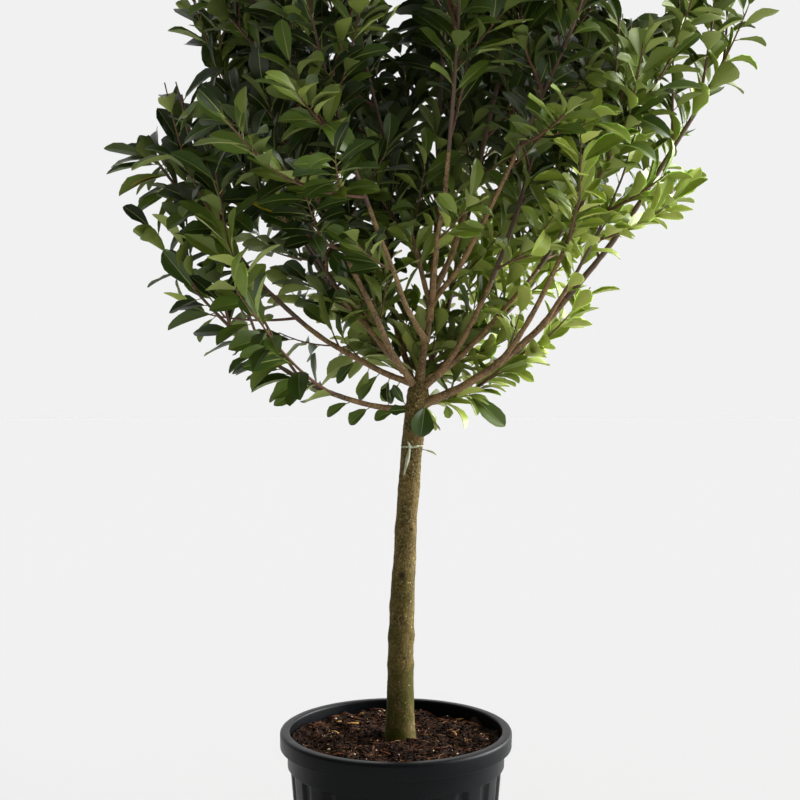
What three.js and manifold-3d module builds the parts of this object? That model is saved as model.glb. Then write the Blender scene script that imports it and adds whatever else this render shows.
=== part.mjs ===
// Potted star magnolia, grown as a standard: one clear stem in a fluted nursery pot, a vase of
// boughs at the fork and a full, leafy crown. Millimetres, +Z up, +X to the right of the front
// view, +Y away from it. The origin is at the centre of the pot's flat underside.

import * as THREE from 'three';
import { mergeVertices } from 'three/addons/utils/BufferGeometryUtils.js';
import Module from 'manifold-3d';

const wasm = await Module();
wasm.setup();
const { clamp, lerp, degToRad, smoothstep } = THREE.MathUtils;

const GAP = 0.3; // clearance between solids that touch on the plant
const SLIVER = 0.05; // edges shorter than this are closed up where solids are joined or cut
const UP = new THREE.Vector3(0, 0, 1);
const NEAR_PLUMB = 0.9; // share of an axis above which it counts as upright
const GOLDEN_ANGLE = degToRad(137.5); // step round the stem from one twig or leaf to the next

// A moulded pot: rolled rim, plain band under it, tapering wall with flat-topped flutes.
const POT = {
  height: 345,
  rimRadius: 200,
  rimDrop: 27, // height of the rim's outer skirt
  rimRound: 6,
  mouthRadius: 183,
  bandRadius: 186.5,
  bandDrop: 33,
  wallRadius: 182, // top of the fluted wall, one small step in from the band
  footRadius: 157,
  footRound: 4,
  wall: 6.5,
  floor: 6,
  segments: 40,
  flutes: 20,
  fluteWidth: 20,
  fluteDepth: 3.6,
  fluteFoot: 22, // plain foot ring below the flutes
};

const SOIL = {
  middleZ: 328.6, // level patch that the trunk rises from
  middleRadius: 44,
  edgeZ: 320, // lower against the pot wall
  rings: 3,
  lump: 3.2,
  segments: 24,
  seed: 11,
};

const TRUNK = {
  footX: 7,
  footZ: SOIL.middleZ + GAP,
  topZ: 945,
  lean: 33, // sideways drift from foot to top, most of it in the upper part
  leanPower: 2.2,
  footRadius: 24,
  waistRadius: 18,
  waistAt: 0.62,
  headRadius: 19.5,
  closeFrom: 0.95, // the knuckle closes in to the leader above this share
  topRadius: 12,
  flare: 3.6,
  flareLength: 0.05,
  flareLobes: 3,
  lobeShare: 0.3,
  sides: 12,
  rings: 16,
};

const LIMB = {
  taper: 0.6, // share of the girth lost from foot to tip
  collar: 0.22, // swelling at the foot, as a share of the girth
  collarLength: 0.04,
  sides: 5,
  ringLength: 80,
  fewestRings: 3,
  clearance: 4, // free space that foliage keeps round every limb
};

// Each limb leaves its parent at a height (trunk) or a share of the length (any other limb) and
// follows one arc: azimuth 0 points right and 90 away, reach is level, rise is upright, sag is
// how far the middle hangs under the chord. Foliage begins after the bare share.
const LIMB_COLUMNS = ['name', 'parent', 'foot', 'azimuth', 'reach', 'rise', 'sag', 'girth', 'bare'];
const LIMBS = [
  ['leader', 'trunk', 940, 0, 22, 160, 6, 10.5, 1],
  ['left_low', 'trunk', 897, 191, 376, 196, 54, 7.5, 0.34],
  ['right_low', 'trunk', 902, 350, 514, 570, 104, 10, 0.5],
  ['back_right', 'trunk', 912, 66, 400, 690, 85, 8, 0.28],
  ['back_left', 'trunk', 918, 108, 390, 690, 85, 8, 0.28],
  ['right_mid', 'trunk', 926, 344, 256, 590, 105, 8, 0.5],
  ['left_up', 'trunk', 928, 216, 290, 580, 66, 8, 0.48],
  ['left_long', 'trunk', 938, 184, 448, 384, 66, 7.5, 0.44],
  ['left_high', 'left_up', 0.1, 166, 360, 600, 60, 6.5, 0.34],
  ['left_back', 'back_left', 0.12, 144, 385, 500, 70, 6.5, 0.3],
  ['right_back', 'back_right', 0.12, 30, 470, 500, 72, 6.5, 0.3],
  ['right_high', 'right_mid', 0.13, 7, 400, 600, 80, 6.5, 0.44],
  ['right_fork', 'right_low', 0.42, 318, 150, 230, 15, 5.5, 0.42],
  ['right_inner', 'right_low', 0.27, 322, 250, 500, 70, 7, 0.5],
  ['right_spray', 'trunk', 906, 20, 175, 75, 22, 4.5, 0.3],
  ['stem_right', 'leader', 0.97, 352, 175, 690, 100, 7.5, 0.4],
  ['stem_centre', 'leader', 0.92, 62, 70, 760, 10, 6.5, 0.32],
  ['stem_left', 'leader', 0.84, 196, 165, 620, 25, 6, 0.34],
  ['front_left', 'leader', 0.5, 246, 414, 440, 50, 6.5, 0.56],
  ['front_mid', 'leader', 0.72, 275, 420, 520, 50, 6.5, 0.56],
  ['front_right', 'leader', 0.88, 302, 414, 450, 50, 6.5, 0.58],
].map((row) => Object.fromEntries(row.map((value, i) => [LIMB_COLUMNS[i], value])));

// The outline that every leaf tip stays inside: a vase that opens from the fork, leans to the right
// and closes in a dome. Each row is a height, the radius there and the middle's place on X.
const CROWN = [
  [840, 60, 40],
  [865, 190, 30],
  [903, 286, -60],
  [947, 371, -56],
  [1033, 383, -70],
  [1120, 405, -10],
  [1206, 450, 25],
  [1293, 515, 10],
  [1380, 520, 35],
  [1466, 515, 110],
  [1596, 510, 110],
  [1700, 490, 105],
  [1800, 430, 95],
  [1870, 320, 80],
  [1925, 0, 70],
];
const DOME_FROM = 1600; // from here up, a margin is kept to the top as well as to the side

const FOLIAGE = {
  seed: 42,
  massSeed: 1009,
  stemSides: 4,
  stemRing: 140,
  fewest: 4, // twigs on the shortest stem
  tries: 3, // ways round the stem that a twig may take, for the one with most room
  twigSpacing: 60,
  twigFirst: 0.06, // share of the stem below its first twig
  twigLength: 300,
  twigShrink: 0.55, // twigs shorten by this share towards the stem's tip
  twigVary: 0.5,
  twigMin: 60,
  spreadFoot: degToRad(58), // angle between twig and stem, at the stem's foot and tip
  spreadTip: degToRad(30),
  lift: 0.45, // how strongly a twig turns up to the light
  twigFootRadius: 3.6,
  twigTipRadius: 2.4,
  twigSides: 3,
  twigSteps: 8, // places along a twig where its room is tried
  space: 3, // margin kept to the border with the next mass
};

const LEAF = {
  length: 138,
  width: 62,
  widestAt: 0.6, // obovate: broadest beyond the middle
  keelAt: 0.08,
  keel: 3.6, // depth of the keel, the leaf's stoutest place
  sink: 0.6, // how far the root runs past its twig's centre line
  droop: 4,
  step: 42,
  footClear: 26,
  tipAngle: degToRad(12),
  angle: degToRad(52),
  angleVary: degToRad(24),
  sizeVary: 0.3,
  tries: 5, // ways round the twig that a leaf may take, each a little smaller
  yield: 0.09,
  steepest: 0.2, // a leaf that points straighter at the light than this faces sideways
  liftLevel: -0.4, // leaves hang on level twigs and rise on upright ones
  liftUpright: 0.15,
  edgeShare: 0.36, // how far inside the crown's outline a twig ends, for its leaves to fit
};

const COLOURS = {
  pot: { color: 0x1e2124, roughness: 0.5, metalness: 0 },
  soil: { color: 0x3b2a1f, roughness: 0.95, metalness: 0 },
  bark: { color: 0x655a3f, roughness: 0.85, metalness: 0 },
  limb: { color: 0x5f4d3d, roughness: 0.82, metalness: 0 },
  leaf: { color: 0x3c5a2c, roughness: 0.5, metalness: 0 },
};

/** A repeatable stream of numbers from 0 to 1. */
function randomStream(seed) {
  let state = seed >>> 0;
  return () => {
    state = (state + 0x6d2b79f5) >>> 0;
    let mixed = Math.imul(state ^ (state >>> 15), state | 1);
    mixed = (mixed + Math.imul(mixed ^ (mixed >>> 7), mixed | 61)) ^ mixed;
    return ((mixed ^ (mixed >>> 14)) >>> 0) / 2 ** 32;
  };
}

/** Turns a closed geometry into a solid, with its shared vertices merged. */
function toSolid(geometry) {
  const bare = new THREE.BufferGeometry();
  bare.setAttribute('position', geometry.getAttribute('position').clone());
  bare.setIndex(geometry.getIndex());
  const merged = mergeVertices(bare);
  const triangles = [];
  const index = merged.getIndex();
  for (let i = 0; i < index.count; i += 3) {
    const corners = [index.getX(i), index.getX(i + 1), index.getX(i + 2)];
    if (new Set(corners).size === corners.length) {
      triangles.push(...corners);
    }
  }
  const mesh = new wasm.Mesh({
    numProp: 3,
    vertProperties: new Float32Array(merged.getAttribute('position').array),
    triVerts: new Uint32Array(triangles),
  });
  return new wasm.Manifold(mesh);
}

/** Keeps the largest body of a solid, so that no loose scrap is left, without its finest slivers. */
function largestBody(solid) {
  const bodies = solid.simplify(SLIVER).decompose();
  return bodies.reduce((best, body) => (body.volume() > best.volume() ? body : best));
}

/** Makes the named mesh of a finished solid. */
function toMesh(name, solid, look) {
  const { vertProperties, triVerts } = solid.getMesh();
  const geometry = new THREE.BufferGeometry();
  geometry.setAttribute('position', new THREE.BufferAttribute(new Float32Array(vertProperties), 3));
  geometry.setIndex(new THREE.BufferAttribute(new Uint32Array(triVerts), 1));
  geometry.computeVertexNormals();
  const mesh = new THREE.Mesh(geometry, new THREE.MeshStandardMaterial(look));
  mesh.name = name;
  return mesh;
}

/** Turns a profile of radius and height about the upright axis. */
function turned(profile, segments) {
  const points = profile.map(([radius, height]) => new THREE.Vector2(radius, height));
  return new THREE.LatheGeometry(points, segments).rotateX(Math.PI / 2);
}

/** Bends a closed cylinder along a curve, in a frame whose sideways direction stays fixed. */
function swept(curve, side, radiusAt, { from = 0, to = 1, sides, rings, grow = 0 }) {
  const geometry = new THREE.CylinderGeometry(1, 1, 1, sides, rings);
  const place = geometry.getAttribute('position');
  const local = new THREE.Vector3();
  for (let i = 0; i < place.count; i += 1) {
    local.fromBufferAttribute(place, i);
    const share = lerp(from, to, local.y + 0.5);
    const tangent = curve.getTangent(share);
    const across = side.clone().cross(tangent).normalize();
    const radius = radiusAt(share, Math.atan2(local.z, local.x)) + grow / Math.cos(Math.PI / sides);
    const end = share === from ? -grow : Number(share === to) * grow;
    const point = curve.getPoint(share).addScaledVector(tangent, end);
    point.addScaledVector(side, local.x * radius).addScaledVector(across, local.z * radius);
    place.setXYZ(i, point.x, point.y, point.z);
  }
  return toSolid(geometry);
}

/** The pot, with its flutes cut into the tapering wall. */
function makePot() {
  const bandTop = POT.height - POT.rimDrop;
  const fluteTop = bandTop - POT.bandDrop;
  const slope = Math.atan2(POT.wallRadius - POT.footRadius, fluteTop);
  const profile = [
    [0, 0],
    [POT.footRadius - POT.footRound, 0],
    [POT.footRadius, POT.footRound],
    [POT.wallRadius, fluteTop],
    [POT.bandRadius, fluteTop],
    [POT.bandRadius, bandTop],
    [POT.rimRadius, bandTop],
    [POT.rimRadius, POT.height - POT.rimRound],
    [POT.rimRadius - POT.rimRound, POT.height],
    [POT.mouthRadius, POT.height],
    [POT.mouthRadius, bandTop],
    [POT.wallRadius - POT.wall, fluteTop],
    [POT.footRadius - POT.wall, POT.floor],
    [0, POT.floor],
  ];
  const body = toSolid(turned(profile, POT.segments));
  const length = fluteTop - POT.fluteFoot;
  const cutters = [];
  for (let i = 0; i < POT.flutes; i += 1) {
    const depth = POT.rimRadius - POT.footRadius;
    const cutter = new THREE.BoxGeometry(depth, POT.fluteWidth, length / Math.cos(slope));
    const middle = (fluteTop + POT.fluteFoot) / 2;
    const wallHere = lerp(POT.footRadius, POT.wallRadius, middle / fluteTop);
    cutter.rotateY(slope);
    cutter.translate(wallHere - POT.fluteDepth + depth / 2, 0, middle);
    cutter.rotateZ(((i + 0.5) * 2 * Math.PI) / POT.flutes);
    cutters.push(toSolid(cutter));
  }
  return largestBody(body.subtract(wasm.Manifold.union(cutters)));
}

/** The compost: fills the pot, lower at the wall, lumpy but level where the trunk stands. */
function makeSoil() {
  const bandTop = POT.height - POT.rimDrop;
  const side = GAP + POT.mouthRadius * (1 - Math.cos(Math.PI / POT.segments));
  const edgeRadius = POT.mouthRadius - side;
  const profile = [
    [0, POT.floor + GAP],
    [POT.footRadius - POT.wall - side, POT.floor + GAP],
    [POT.wallRadius - POT.wall - side, bandTop - POT.bandDrop],
    [edgeRadius, bandTop],
  ];
  for (let ring = 0; ring <= SOIL.rings; ring += 1) {
    const share = ring / SOIL.rings;
    const radius = lerp(edgeRadius, SOIL.middleRadius, share);
    profile.push([radius, lerp(SOIL.edgeZ, SOIL.middleZ, smoothstep(share, 0, 1))]);
  }
  profile.push([0, SOIL.middleZ]);
  const geometry = turned(profile, SOIL.segments);
  const place = geometry.getAttribute('position');
  const random = randomStream(SOIL.seed);
  const bumps = Array.from({ length: SOIL.segments }, () => random() - 0.5);
  for (let i = 0; i < place.count; i += 1) {
    const radius = Math.hypot(place.getX(i), place.getY(i));
    const onTop = place.getZ(i) > (bandTop + SOIL.edgeZ) / 2;
    if (onTop && radius > SOIL.middleRadius + SOIL.lump) {
      const turn = Math.atan2(place.getY(i), place.getX(i)) / (2 * Math.PI);
      const slot = Math.round((turn + 1) * SOIL.segments + radius) % SOIL.segments;
      place.setZ(i, Math.min(place.getZ(i) + SOIL.lump * bumps[slot], SOIL.middleZ));
    }
  }
  return toSolid(geometry);
}

/** The trunk's centre line: upright at the foot, drifting sideways towards the fork. */
class TrunkLine extends THREE.Curve {
  getPoint(share, target = new THREE.Vector3()) {
    const drift = TRUNK.lean * Math.max(share, 0) ** TRUNK.leanPower;
    return target.set(TRUNK.footX + drift, 0, lerp(TRUNK.footZ, TRUNK.topZ, share));
  }

  getTangent(share, target = new THREE.Vector3()) {
    const slope = TRUNK.lean * TRUNK.leanPower * Math.max(share, 0) ** (TRUNK.leanPower - 1);
    return target.set(slope, 0, TRUNK.topZ - TRUNK.footZ).normalize();
  }
}

/** One woody limb: a centre line, a tapering girth and the solid that they give. */
class Limb {
  constructor({ name, curve, side, radiusAt, sides, rings, bare }) {
    Object.assign(this, { name, curve, side, radiusAt, sides, rings, bare });
    this.length = curve.getLength();
  }

  /** The limb's solid up to its bare share, grown all over by an allowance. */
  solid(grow = 0) {
    const span = { to: this.bare, sides: this.sides, rings: this.rings, grow };
    return swept(this.curve, this.side, this.radiusAt, span);
  }

  /** Points along a share of the centre line. */
  line(from, to, steps) {
    return Array.from({ length: steps + 1 }, (_, i) => this.curve.getPoint(lerp(from, to, i / steps)));
  }
}

/** The trunk: flared at the foot, slimmest above the middle, swelling to the knuckle at the fork. */
function makeTrunk() {
  const radiusAt = (share, angle) => {
    const below = Math.max(0, 1 - share / TRUNK.waistAt);
    const above = Math.max(0, (share - TRUNK.waistAt) / (1 - TRUNK.waistAt));
    const stout = (TRUNK.footRadius - TRUNK.waistRadius) * below;
    const head = (TRUNK.headRadius - TRUNK.waistRadius) * above;
    const lobes = 1 + TRUNK.lobeShare * Math.cos(TRUNK.flareLobes * angle);
    const flare = TRUNK.flare * lobes * Math.exp(-Math.max(share, 0) / TRUNK.flareLength);
    const full = TRUNK.waistRadius + stout + head + flare;
    return lerp(full, TRUNK.topRadius, smoothstep(share, TRUNK.closeFrom, 1));
  };
  const { sides, rings } = TRUNK;
  const side = new THREE.Vector3(0, 1, 0);
  return new Limb({ name: 'trunk', curve: new TrunkLine(), side, radiusAt, sides, rings, bare: 1 });
}

/** Lays out one limb of the list as an arc from its parent. */
function makeLimb(row, limbs) {
  const parent = limbs.get(row.parent);
  const onTrunk = row.parent === 'trunk';
  const share = onTrunk ? (row.foot - TRUNK.footZ) / (TRUNK.topZ - TRUNK.footZ) : row.foot;
  const azimuth = degToRad(row.azimuth);
  const outward = new THREE.Vector3(Math.cos(azimuth), Math.sin(azimuth), 0);
  const foot = parent.curve.getPoint(share);
  const tip = foot.clone().addScaledVector(outward, row.reach).addScaledVector(UP, row.rise);
  const bend = foot.clone().lerp(tip, 0.5).addScaledVector(UP, -2 * row.sag);
  const curve = new THREE.QuadraticBezierCurve3(foot, bend, tip);
  const radiusAt = (at) => {
    const collar = LIMB.collar * Math.exp(-Math.max(at, 0) / LIMB.collarLength);
    return row.girth * (1 - LIMB.taper * at + collar);
  };
  const side = UP.clone().cross(outward).normalize();
  const { name, bare } = row;
  const rings = Math.max(LIMB.fewestRings, Math.round((curve.getLength() * bare) / LIMB.ringLength));
  return new Limb({ name, curve, side, radiusAt, sides: LIMB.sides, rings, bare });
}

/** Distance from a point to a line of points. */
function distanceToLine(point, line) {
  const nearest = new THREE.Vector3();
  const piece = new THREE.Line3();
  let best = Infinity;
  for (let i = 1; i < line.length; i += 1) {
    piece.set(line[i - 1], line[i]).closestPointToPoint(point, true, nearest);
    best = Math.min(best, nearest.distanceTo(point));
  }
  return best;
}

/** The crown's radius and middle at a height, between the two rows nearest to it. */
function crownAt(z) {
  const height = clamp(z, CROWN[0][0], CROWN.at(-1)[0]);
  const next = CROWN.findIndex(([top], row) => row > 0 && height <= top);
  const [low, high] = [CROWN[next - 1], CROWN[next]];
  const share = (height - low[0]) / (high[0] - low[0]);
  return { radius: lerp(low[1], high[1], share), middle: lerp(low[2], high[2], share) };
}

/** Whether a point lies inside the crown's outline, less a margin. */
function insideCrown(point, margin) {
  const { middle } = crownAt(point.z);
  const { radius } = crownAt(point.z > DOME_FROM ? point.z + margin : point.z);
  return Math.hypot(point.x - middle, point.y) < radius - margin;
}

/** The space that belongs to one mass: nearer to its own stem than to any other, clear of limbs. */
class Space {
  constructor(limb, limbs) {
    const leafy = [...limbs.values()].filter((other) => other.bare < 1);
    this.own = limb.line(limb.bare, 1, FOLIAGE.twigSteps);
    this.others = leafy
      .filter((other) => other !== limb)
      .map((other) => other.line(other.bare, 1, FOLIAGE.twigSteps));
    this.wood = [...limbs.values()].map((other) => ({
      line: other.line(0, other.bare, FOLIAGE.twigSteps * 2),
      radius: other.radiusAt(0, 0) + LIMB.clearance,
    }));
  }

  /** Whether a point is in this mass's own space. */
  holds(point, margin = 0) {
    if (!insideCrown(point, margin)) {
      return false;
    }
    const own = distanceToLine(point, this.own) + FOLIAGE.space;
    if (this.others.some((line) => distanceToLine(point, line) < own)) {
      return false;
    }
    return this.wood.every(({ line, radius }) => distanceToLine(point, line) > radius);
  }
}

/** A direction at an angle to an axis, turned round it by a roll. */
function turnedFrom(axis, side, angle, roll) {
  const across = axis.clone().cross(side);
  const outward = side.clone().multiplyScalar(Math.cos(roll)).addScaledVector(across, Math.sin(roll));
  return axis.clone().multiplyScalar(Math.cos(angle)).addScaledVector(outward, Math.sin(angle));
}

/** A sideways direction for any axis. */
function sideOf(axis) {
  const reference = Math.abs(axis.z) < NEAR_PLUMB ? UP : new THREE.Vector3(1, 0, 0);
  return reference.clone().cross(axis).normalize();
}

/** Whether two solids share any space. */
function meets(one, other) {
  const a = one.boundingBox();
  const b = other.boundingBox();
  const near = [0, 1, 2].every((axis) => a.min[axis] < b.max[axis] && b.min[axis] < a.max[axis]);
  return near && !one.intersect(other).isEmpty();
}

/** One mass of foliage: a stem that carries its bough on, twigs and leaves, fused. */
class Mass {
  constructor(limb, number, limbs, wood) {
    this.limb = limb;
    this.number = number;
    this.space = new Space(limb, limbs);
    this.wood = wood;
    const from = limb.bare + GAP / limb.length;
    const length = limb.length * (1 - limb.bare);
    const rings = Math.max(LIMB.fewestRings, Math.round(length / FOLIAGE.stemRing));
    const span = { from, sides: FOLIAGE.stemSides, rings };
    this.stem = swept(limb.curve, limb.side, limb.radiusAt, span);
    this.twigs = [];
    this.leaves = [];
  }

  /** Twigs leave the stem by the golden angle and turn up to the light, where there is room. */
  growTwigs() {
    const { limb, number } = this;
    const length = limb.length * (1 - limb.bare);
    const count = Math.max(FOLIAGE.fewest, Math.round(length / FOLIAGE.twigSpacing));
    for (let i = 0; i < count; i += 1) {
      const random = randomStream(FOLIAGE.seed + number * FOLIAGE.massSeed + i);
      const along = lerp(FOLIAGE.twigFirst, 1, i / (count - 1));
      const vary = 1 + (random() - 0.5) * FOLIAGE.twigVary;
      const reach = FOLIAGE.twigLength * (1 - FOLIAGE.twigShrink * along) * vary;
      const options = Array.from({ length: FOLIAGE.tries }, (_, turn) => {
        const roll = i * GOLDEN_ANGLE + number + (turn * 2 * Math.PI) / FOLIAGE.tries;
        return this.layTwig(along, roll, reach);
      });
      const best = options.reduce((longest, twig) => (twig.reach > longest.reach + 1 ? twig : longest));
      if (best.reach > FOLIAGE.twigMin) {
        this.addTwig({ ...best, random, number: i });
      }
    }
  }

  /** One twig's arc, cut off where it would leave the mass's space. */
  layTwig(along, roll, reach) {
    const { limb, space } = this;
    const share = lerp(limb.bare, 1, along);
    const foot = limb.curve.getPoint(share);
    const spread = lerp(FOLIAGE.spreadFoot, FOLIAGE.spreadTip, along);
    const setOff = turnedFrom(limb.curve.getTangent(share), limb.side, spread, roll);
    const settle = setOff.clone().addScaledVector(UP, FOLIAGE.lift).normalize();
    const bend = foot.clone().addScaledVector(setOff, reach / 2);
    const tip = bend.clone().addScaledVector(settle, reach / 2);
    const curve = new THREE.QuadraticBezierCurve3(foot, bend, tip);
    const margin = LEAF.length * LEAF.edgeShare;
    const inside = (step) => space.holds(curve.getPoint(step / FOLIAGE.twigSteps), margin);
    let steps = 0;
    while (steps < FOLIAGE.twigSteps && inside(steps + 1)) {
      steps += 1;
    }
    const end = steps / FOLIAGE.twigSteps;
    return { curve, end, reach: reach * end };
  }

  /** Makes a twig's solid and keeps it, unless it runs into an earlier one or a limb. */
  addTwig(twig) {
    const { curve, end } = twig;
    const side = sideOf(curve.getTangent(end / 2));
    const radiusAt = (share) => lerp(FOLIAGE.twigFootRadius, FOLIAGE.twigTipRadius, share / end);
    const solid = swept(curve, side, radiusAt, { to: end, sides: FOLIAGE.twigSides, rings: 2 });
    const earlier = this.twigs.map((other) => other.solid);
    if (![...this.wood, ...earlier].some((other) => meets(other, solid))) {
      const [foot, knee, tip] = [0, end / 2, end].map((share) => curve.getPoint(share));
      const path = new THREE.CurvePath();
      path.add(new THREE.LineCurve3(foot, knee));
      path.add(new THREE.LineCurve3(knee, tip));
      this.twigs.push({ ...twig, path, solid });
    }
  }

  /** Leaves stand at each twig's tip and alternately back towards its foot. */
  growLeaves() {
    for (const twig of this.twigs) {
      const { path, reach, random } = twig;
      for (let j = 0; j === 0 || reach - j * LEAF.step > LEAF.footClear; j += 1) {
        const share = Math.max(0, 1 - (j * LEAF.step) / reach);
        const root = path.getPoint(share);
        const along = path.getTangent(share);
        const spread = j === 0 ? LEAF.tipAngle : LEAF.angle;
        const angle = spread + (random() - 0.5) * LEAF.angleVary;
        const size = 1 + (random() - 0.5) * LEAF.sizeVary;
        const lift = lerp(LEAF.liftLevel, LEAF.liftUpright, Math.max(along.z, 0));
        for (let turn = 0; turn < LEAF.tries; turn += 1) {
          const roll = (j + turn) * GOLDEN_ANGLE + twig.number;
          const axis = turnedFrom(along, sideOf(along), angle, roll).addScaledVector(UP, lift).normalize();
          const leaf = shapeLeaf(root, axis, size * (1 - turn * LEAF.yield));
          if (this.takes(leaf, twig)) {
            this.leaves.push(leaf.solid);
            break;
          }
        }
      }
    }
  }

  /** Whether a leaf keeps to the mass's space and pierces nothing but its own twig. */
  takes(leaf, twig) {
    if (!leaf.probes.every((probe) => this.space.holds(probe))) {
      return false;
    }
    const others = this.twigs.filter((other) => other !== twig).map((other) => other.solid);
    return ![this.stem, ...this.wood, ...others, ...this.leaves].some((solid) => meets(solid, leaf.solid));
  }

  /** The whole mass as one body. */
  fused() {
    this.growTwigs();
    this.growLeaves();
    const twigs = this.twigs.map((twig) => twig.solid);
    return largestBody(wasm.Manifold.union([this.stem, ...twigs, ...this.leaves]));
  }
}

/** A leaf: a three-sided double cone drawn out to an obovate blade with a keel under its root. */
function shapeLeaf(root, axis, size) {
  const light = new THREE.Vector3(root.x - crownAt(root.z).middle, root.y, 0).normalize().add(UP);
  const facing = light.addScaledVector(axis, -axis.dot(light));
  const face = facing.length() > LEAF.steepest ? facing.normalize() : sideOf(axis);
  const across = face.clone().cross(axis);
  const geometry = new THREE.SphereGeometry(1, 3, 2);
  const place = geometry.getAttribute('position');
  const length = LEAF.length * size;
  const heart = root.clone().addScaledVector(axis, length / 2);
  const probes = [heart];
  for (let i = 0; i < place.count; i += 1) {
    const [keel, long, wide] = [place.getX(i), place.getY(i), place.getZ(i)].map(Math.round);
    const middle = length * (wide ? LEAF.widestAt : LEAF.keelAt);
    const along = [-LEAF.sink, middle, length][long + 1];
    const rise = wide || long ? Math.max(long, 0) * -LEAF.droop : keel * LEAF.keel;
    const corner = root.clone().addScaledVector(axis, along).addScaledVector(face, rise);
    corner.addScaledVector(across, (wide * LEAF.width * size) / 2);
    place.setXYZ(i, corner.x, corner.y, corner.z);
    if (wide || long > 0) {
      probes.push(corner, corner.clone().lerp(heart, 0.5));
    }
  }
  return { solid: toSolid(geometry), probes };
}

const plant = new THREE.Group();
plant.name = 'potted_star_magnolia';
plant.add(toMesh('nursery_pot', makePot(), COLOURS.pot));
plant.add(toMesh('potting_soil', makeSoil(), COLOURS.soil));

const limbs = new Map([['trunk', makeTrunk()]]);
for (const row of LIMBS) {
  limbs.set(row.name, makeLimb(row, limbs));
}

const standing = [];
for (const limb of limbs.values()) {
  const clear = standing.reduce((solid, earlier) => solid.subtract(earlier.solid(GAP)), limb.solid());
  const upright = limb.name === 'trunk' || limb.name === 'leader';
  const name = upright ? limb.name : `bough_${limb.name}`;
  plant.add(toMesh(name, largestBody(clear), upright ? COLOURS.bark : COLOURS.limb));
  standing.push(limb);
}

const wood = standing.map((limb) => limb.solid(GAP));
const leafy = standing.filter((limb) => limb.bare < 1);
leafy.forEach((limb, number) => {
  plant.add(toMesh(`foliage_${limb.name}`, new Mass(limb, number, limbs, wood).fused(), COLOURS.leaf));
});

export default plant;
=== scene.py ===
"""Looks of a potted star magnolia: a clear stem in a fluted nursery pot under a full, leafy crown.

Sizes are in millimetres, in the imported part's frame: +Z up, +X to the right of the front view, +Y away
from it, with the origin under the middle of the pot. Meshes are turned to metres as they are made.
"""

import itertools
import logging
import math
from collections.abc import Callable, Sequence
from dataclasses import dataclass, field, replace
from enum import Enum, IntEnum
from functools import partial

import bpy
import numpy as np
from bpy.types import Material, Node, NodeSocket, NodeTree
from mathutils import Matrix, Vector


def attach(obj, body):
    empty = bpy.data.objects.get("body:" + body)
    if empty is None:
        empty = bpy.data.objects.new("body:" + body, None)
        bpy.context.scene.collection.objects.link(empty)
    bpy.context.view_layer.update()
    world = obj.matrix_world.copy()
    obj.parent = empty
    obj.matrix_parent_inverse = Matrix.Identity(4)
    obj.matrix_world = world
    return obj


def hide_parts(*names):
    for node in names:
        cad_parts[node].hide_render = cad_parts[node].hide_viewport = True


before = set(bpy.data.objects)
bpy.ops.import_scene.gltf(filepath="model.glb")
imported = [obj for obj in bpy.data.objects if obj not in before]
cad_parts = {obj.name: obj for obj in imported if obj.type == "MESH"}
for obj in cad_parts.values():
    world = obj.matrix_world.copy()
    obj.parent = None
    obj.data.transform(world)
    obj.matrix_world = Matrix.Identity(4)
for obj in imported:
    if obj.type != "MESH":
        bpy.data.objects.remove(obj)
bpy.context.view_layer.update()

Array = np.ndarray
Random = np.random.Generator
Colour = tuple[float, float, float, float]
Triple = tuple[float, float, float]
Span = tuple[float, float]

log = logging.getLogger("potted_star_magnolia")

BODY = "root"
CAMERA_AT = (6.9, -1962.0, 912.0)
MM = 0.001
UP = np.array([0.0, 0.0, 1.0])
NEAR_PLUMB = 0.9
LENGTH_STEPS = 200
GOLDEN_ANGLE = math.radians(137.5)
WORD = 0xFFFFFFFF


def linear(colour: str) -> Colour:
    """Turns an sRGB hex colour to linear light.

    Args:
        colour: Six hex digits.

    Returns:
        Red, green and blue in linear light, and an alpha of 1.
    """
    channels = [int(colour[i : i + 2], 16) / 255 for i in (0, 2, 4)]
    red, green, blue = (c / 12.92 if c <= 0.04045 else ((c + 0.055) / 1.055) ** 2.4 for c in channels)
    return red, green, blue, 1.0


def per_mm(size: float) -> float:
    """The texture scale, in metres, that gives features of a size in millimetres."""
    return 1 / (size * MM)


def lerp(low: float | Array, high: float | Array, share: float | Array) -> float | Array:
    """Goes from one value to another by a share."""
    return low + (high - low) * share


def smoothstep(value: float | Array, low: float, high: float) -> Array:
    """Rises smoothly from 0 to 1 between two limits."""
    share = np.clip((np.asarray(value, float) - low) / (high - low), 0, 1)
    return share * share * (3 - 2 * share)


def unit(vectors: Array) -> Array:
    """Scales vectors to a length of 1."""
    return vectors / np.maximum(np.linalg.norm(vectors, axis=-1, keepdims=True), 1e-9)


def sides_of(axes: Array) -> Array:
    """A level sideways direction for each axis."""
    plumb = np.abs(axes[..., 2:3]) >= NEAR_PLUMB
    return unit(np.cross(np.where(plumb, np.array([1.0, 0.0, 0.0]), UP), axes))


def turned_from(axes: Array, sides: Array, angle: float | Array, roll: float | Array) -> Array:
    """Directions at an angle to their axes.

    Args:
        axes: Unit directions.
        sides: A sideways direction for each.
        angle: How far each leans away from its axis.
        roll: How far it is turned round the axis, from the sideways direction.

    Returns:
        The directions.
    """
    angle, roll = np.asarray(angle)[..., None], np.asarray(roll)[..., None]
    outward = sides * np.cos(roll) + np.cross(axes, sides) * np.sin(roll)
    return axes * np.cos(angle) + outward * np.sin(angle)


def turns(count: int) -> Array:
    """Angles that part a full turn equally."""
    return np.arange(count) * 2 * math.pi / count


def spokes(angle: float | Array) -> Array:
    """Level unit directions at angles from the right towards the back."""
    return np.stack((np.cos(angle), np.sin(angle), np.zeros_like(angle)), axis=-1)


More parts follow.
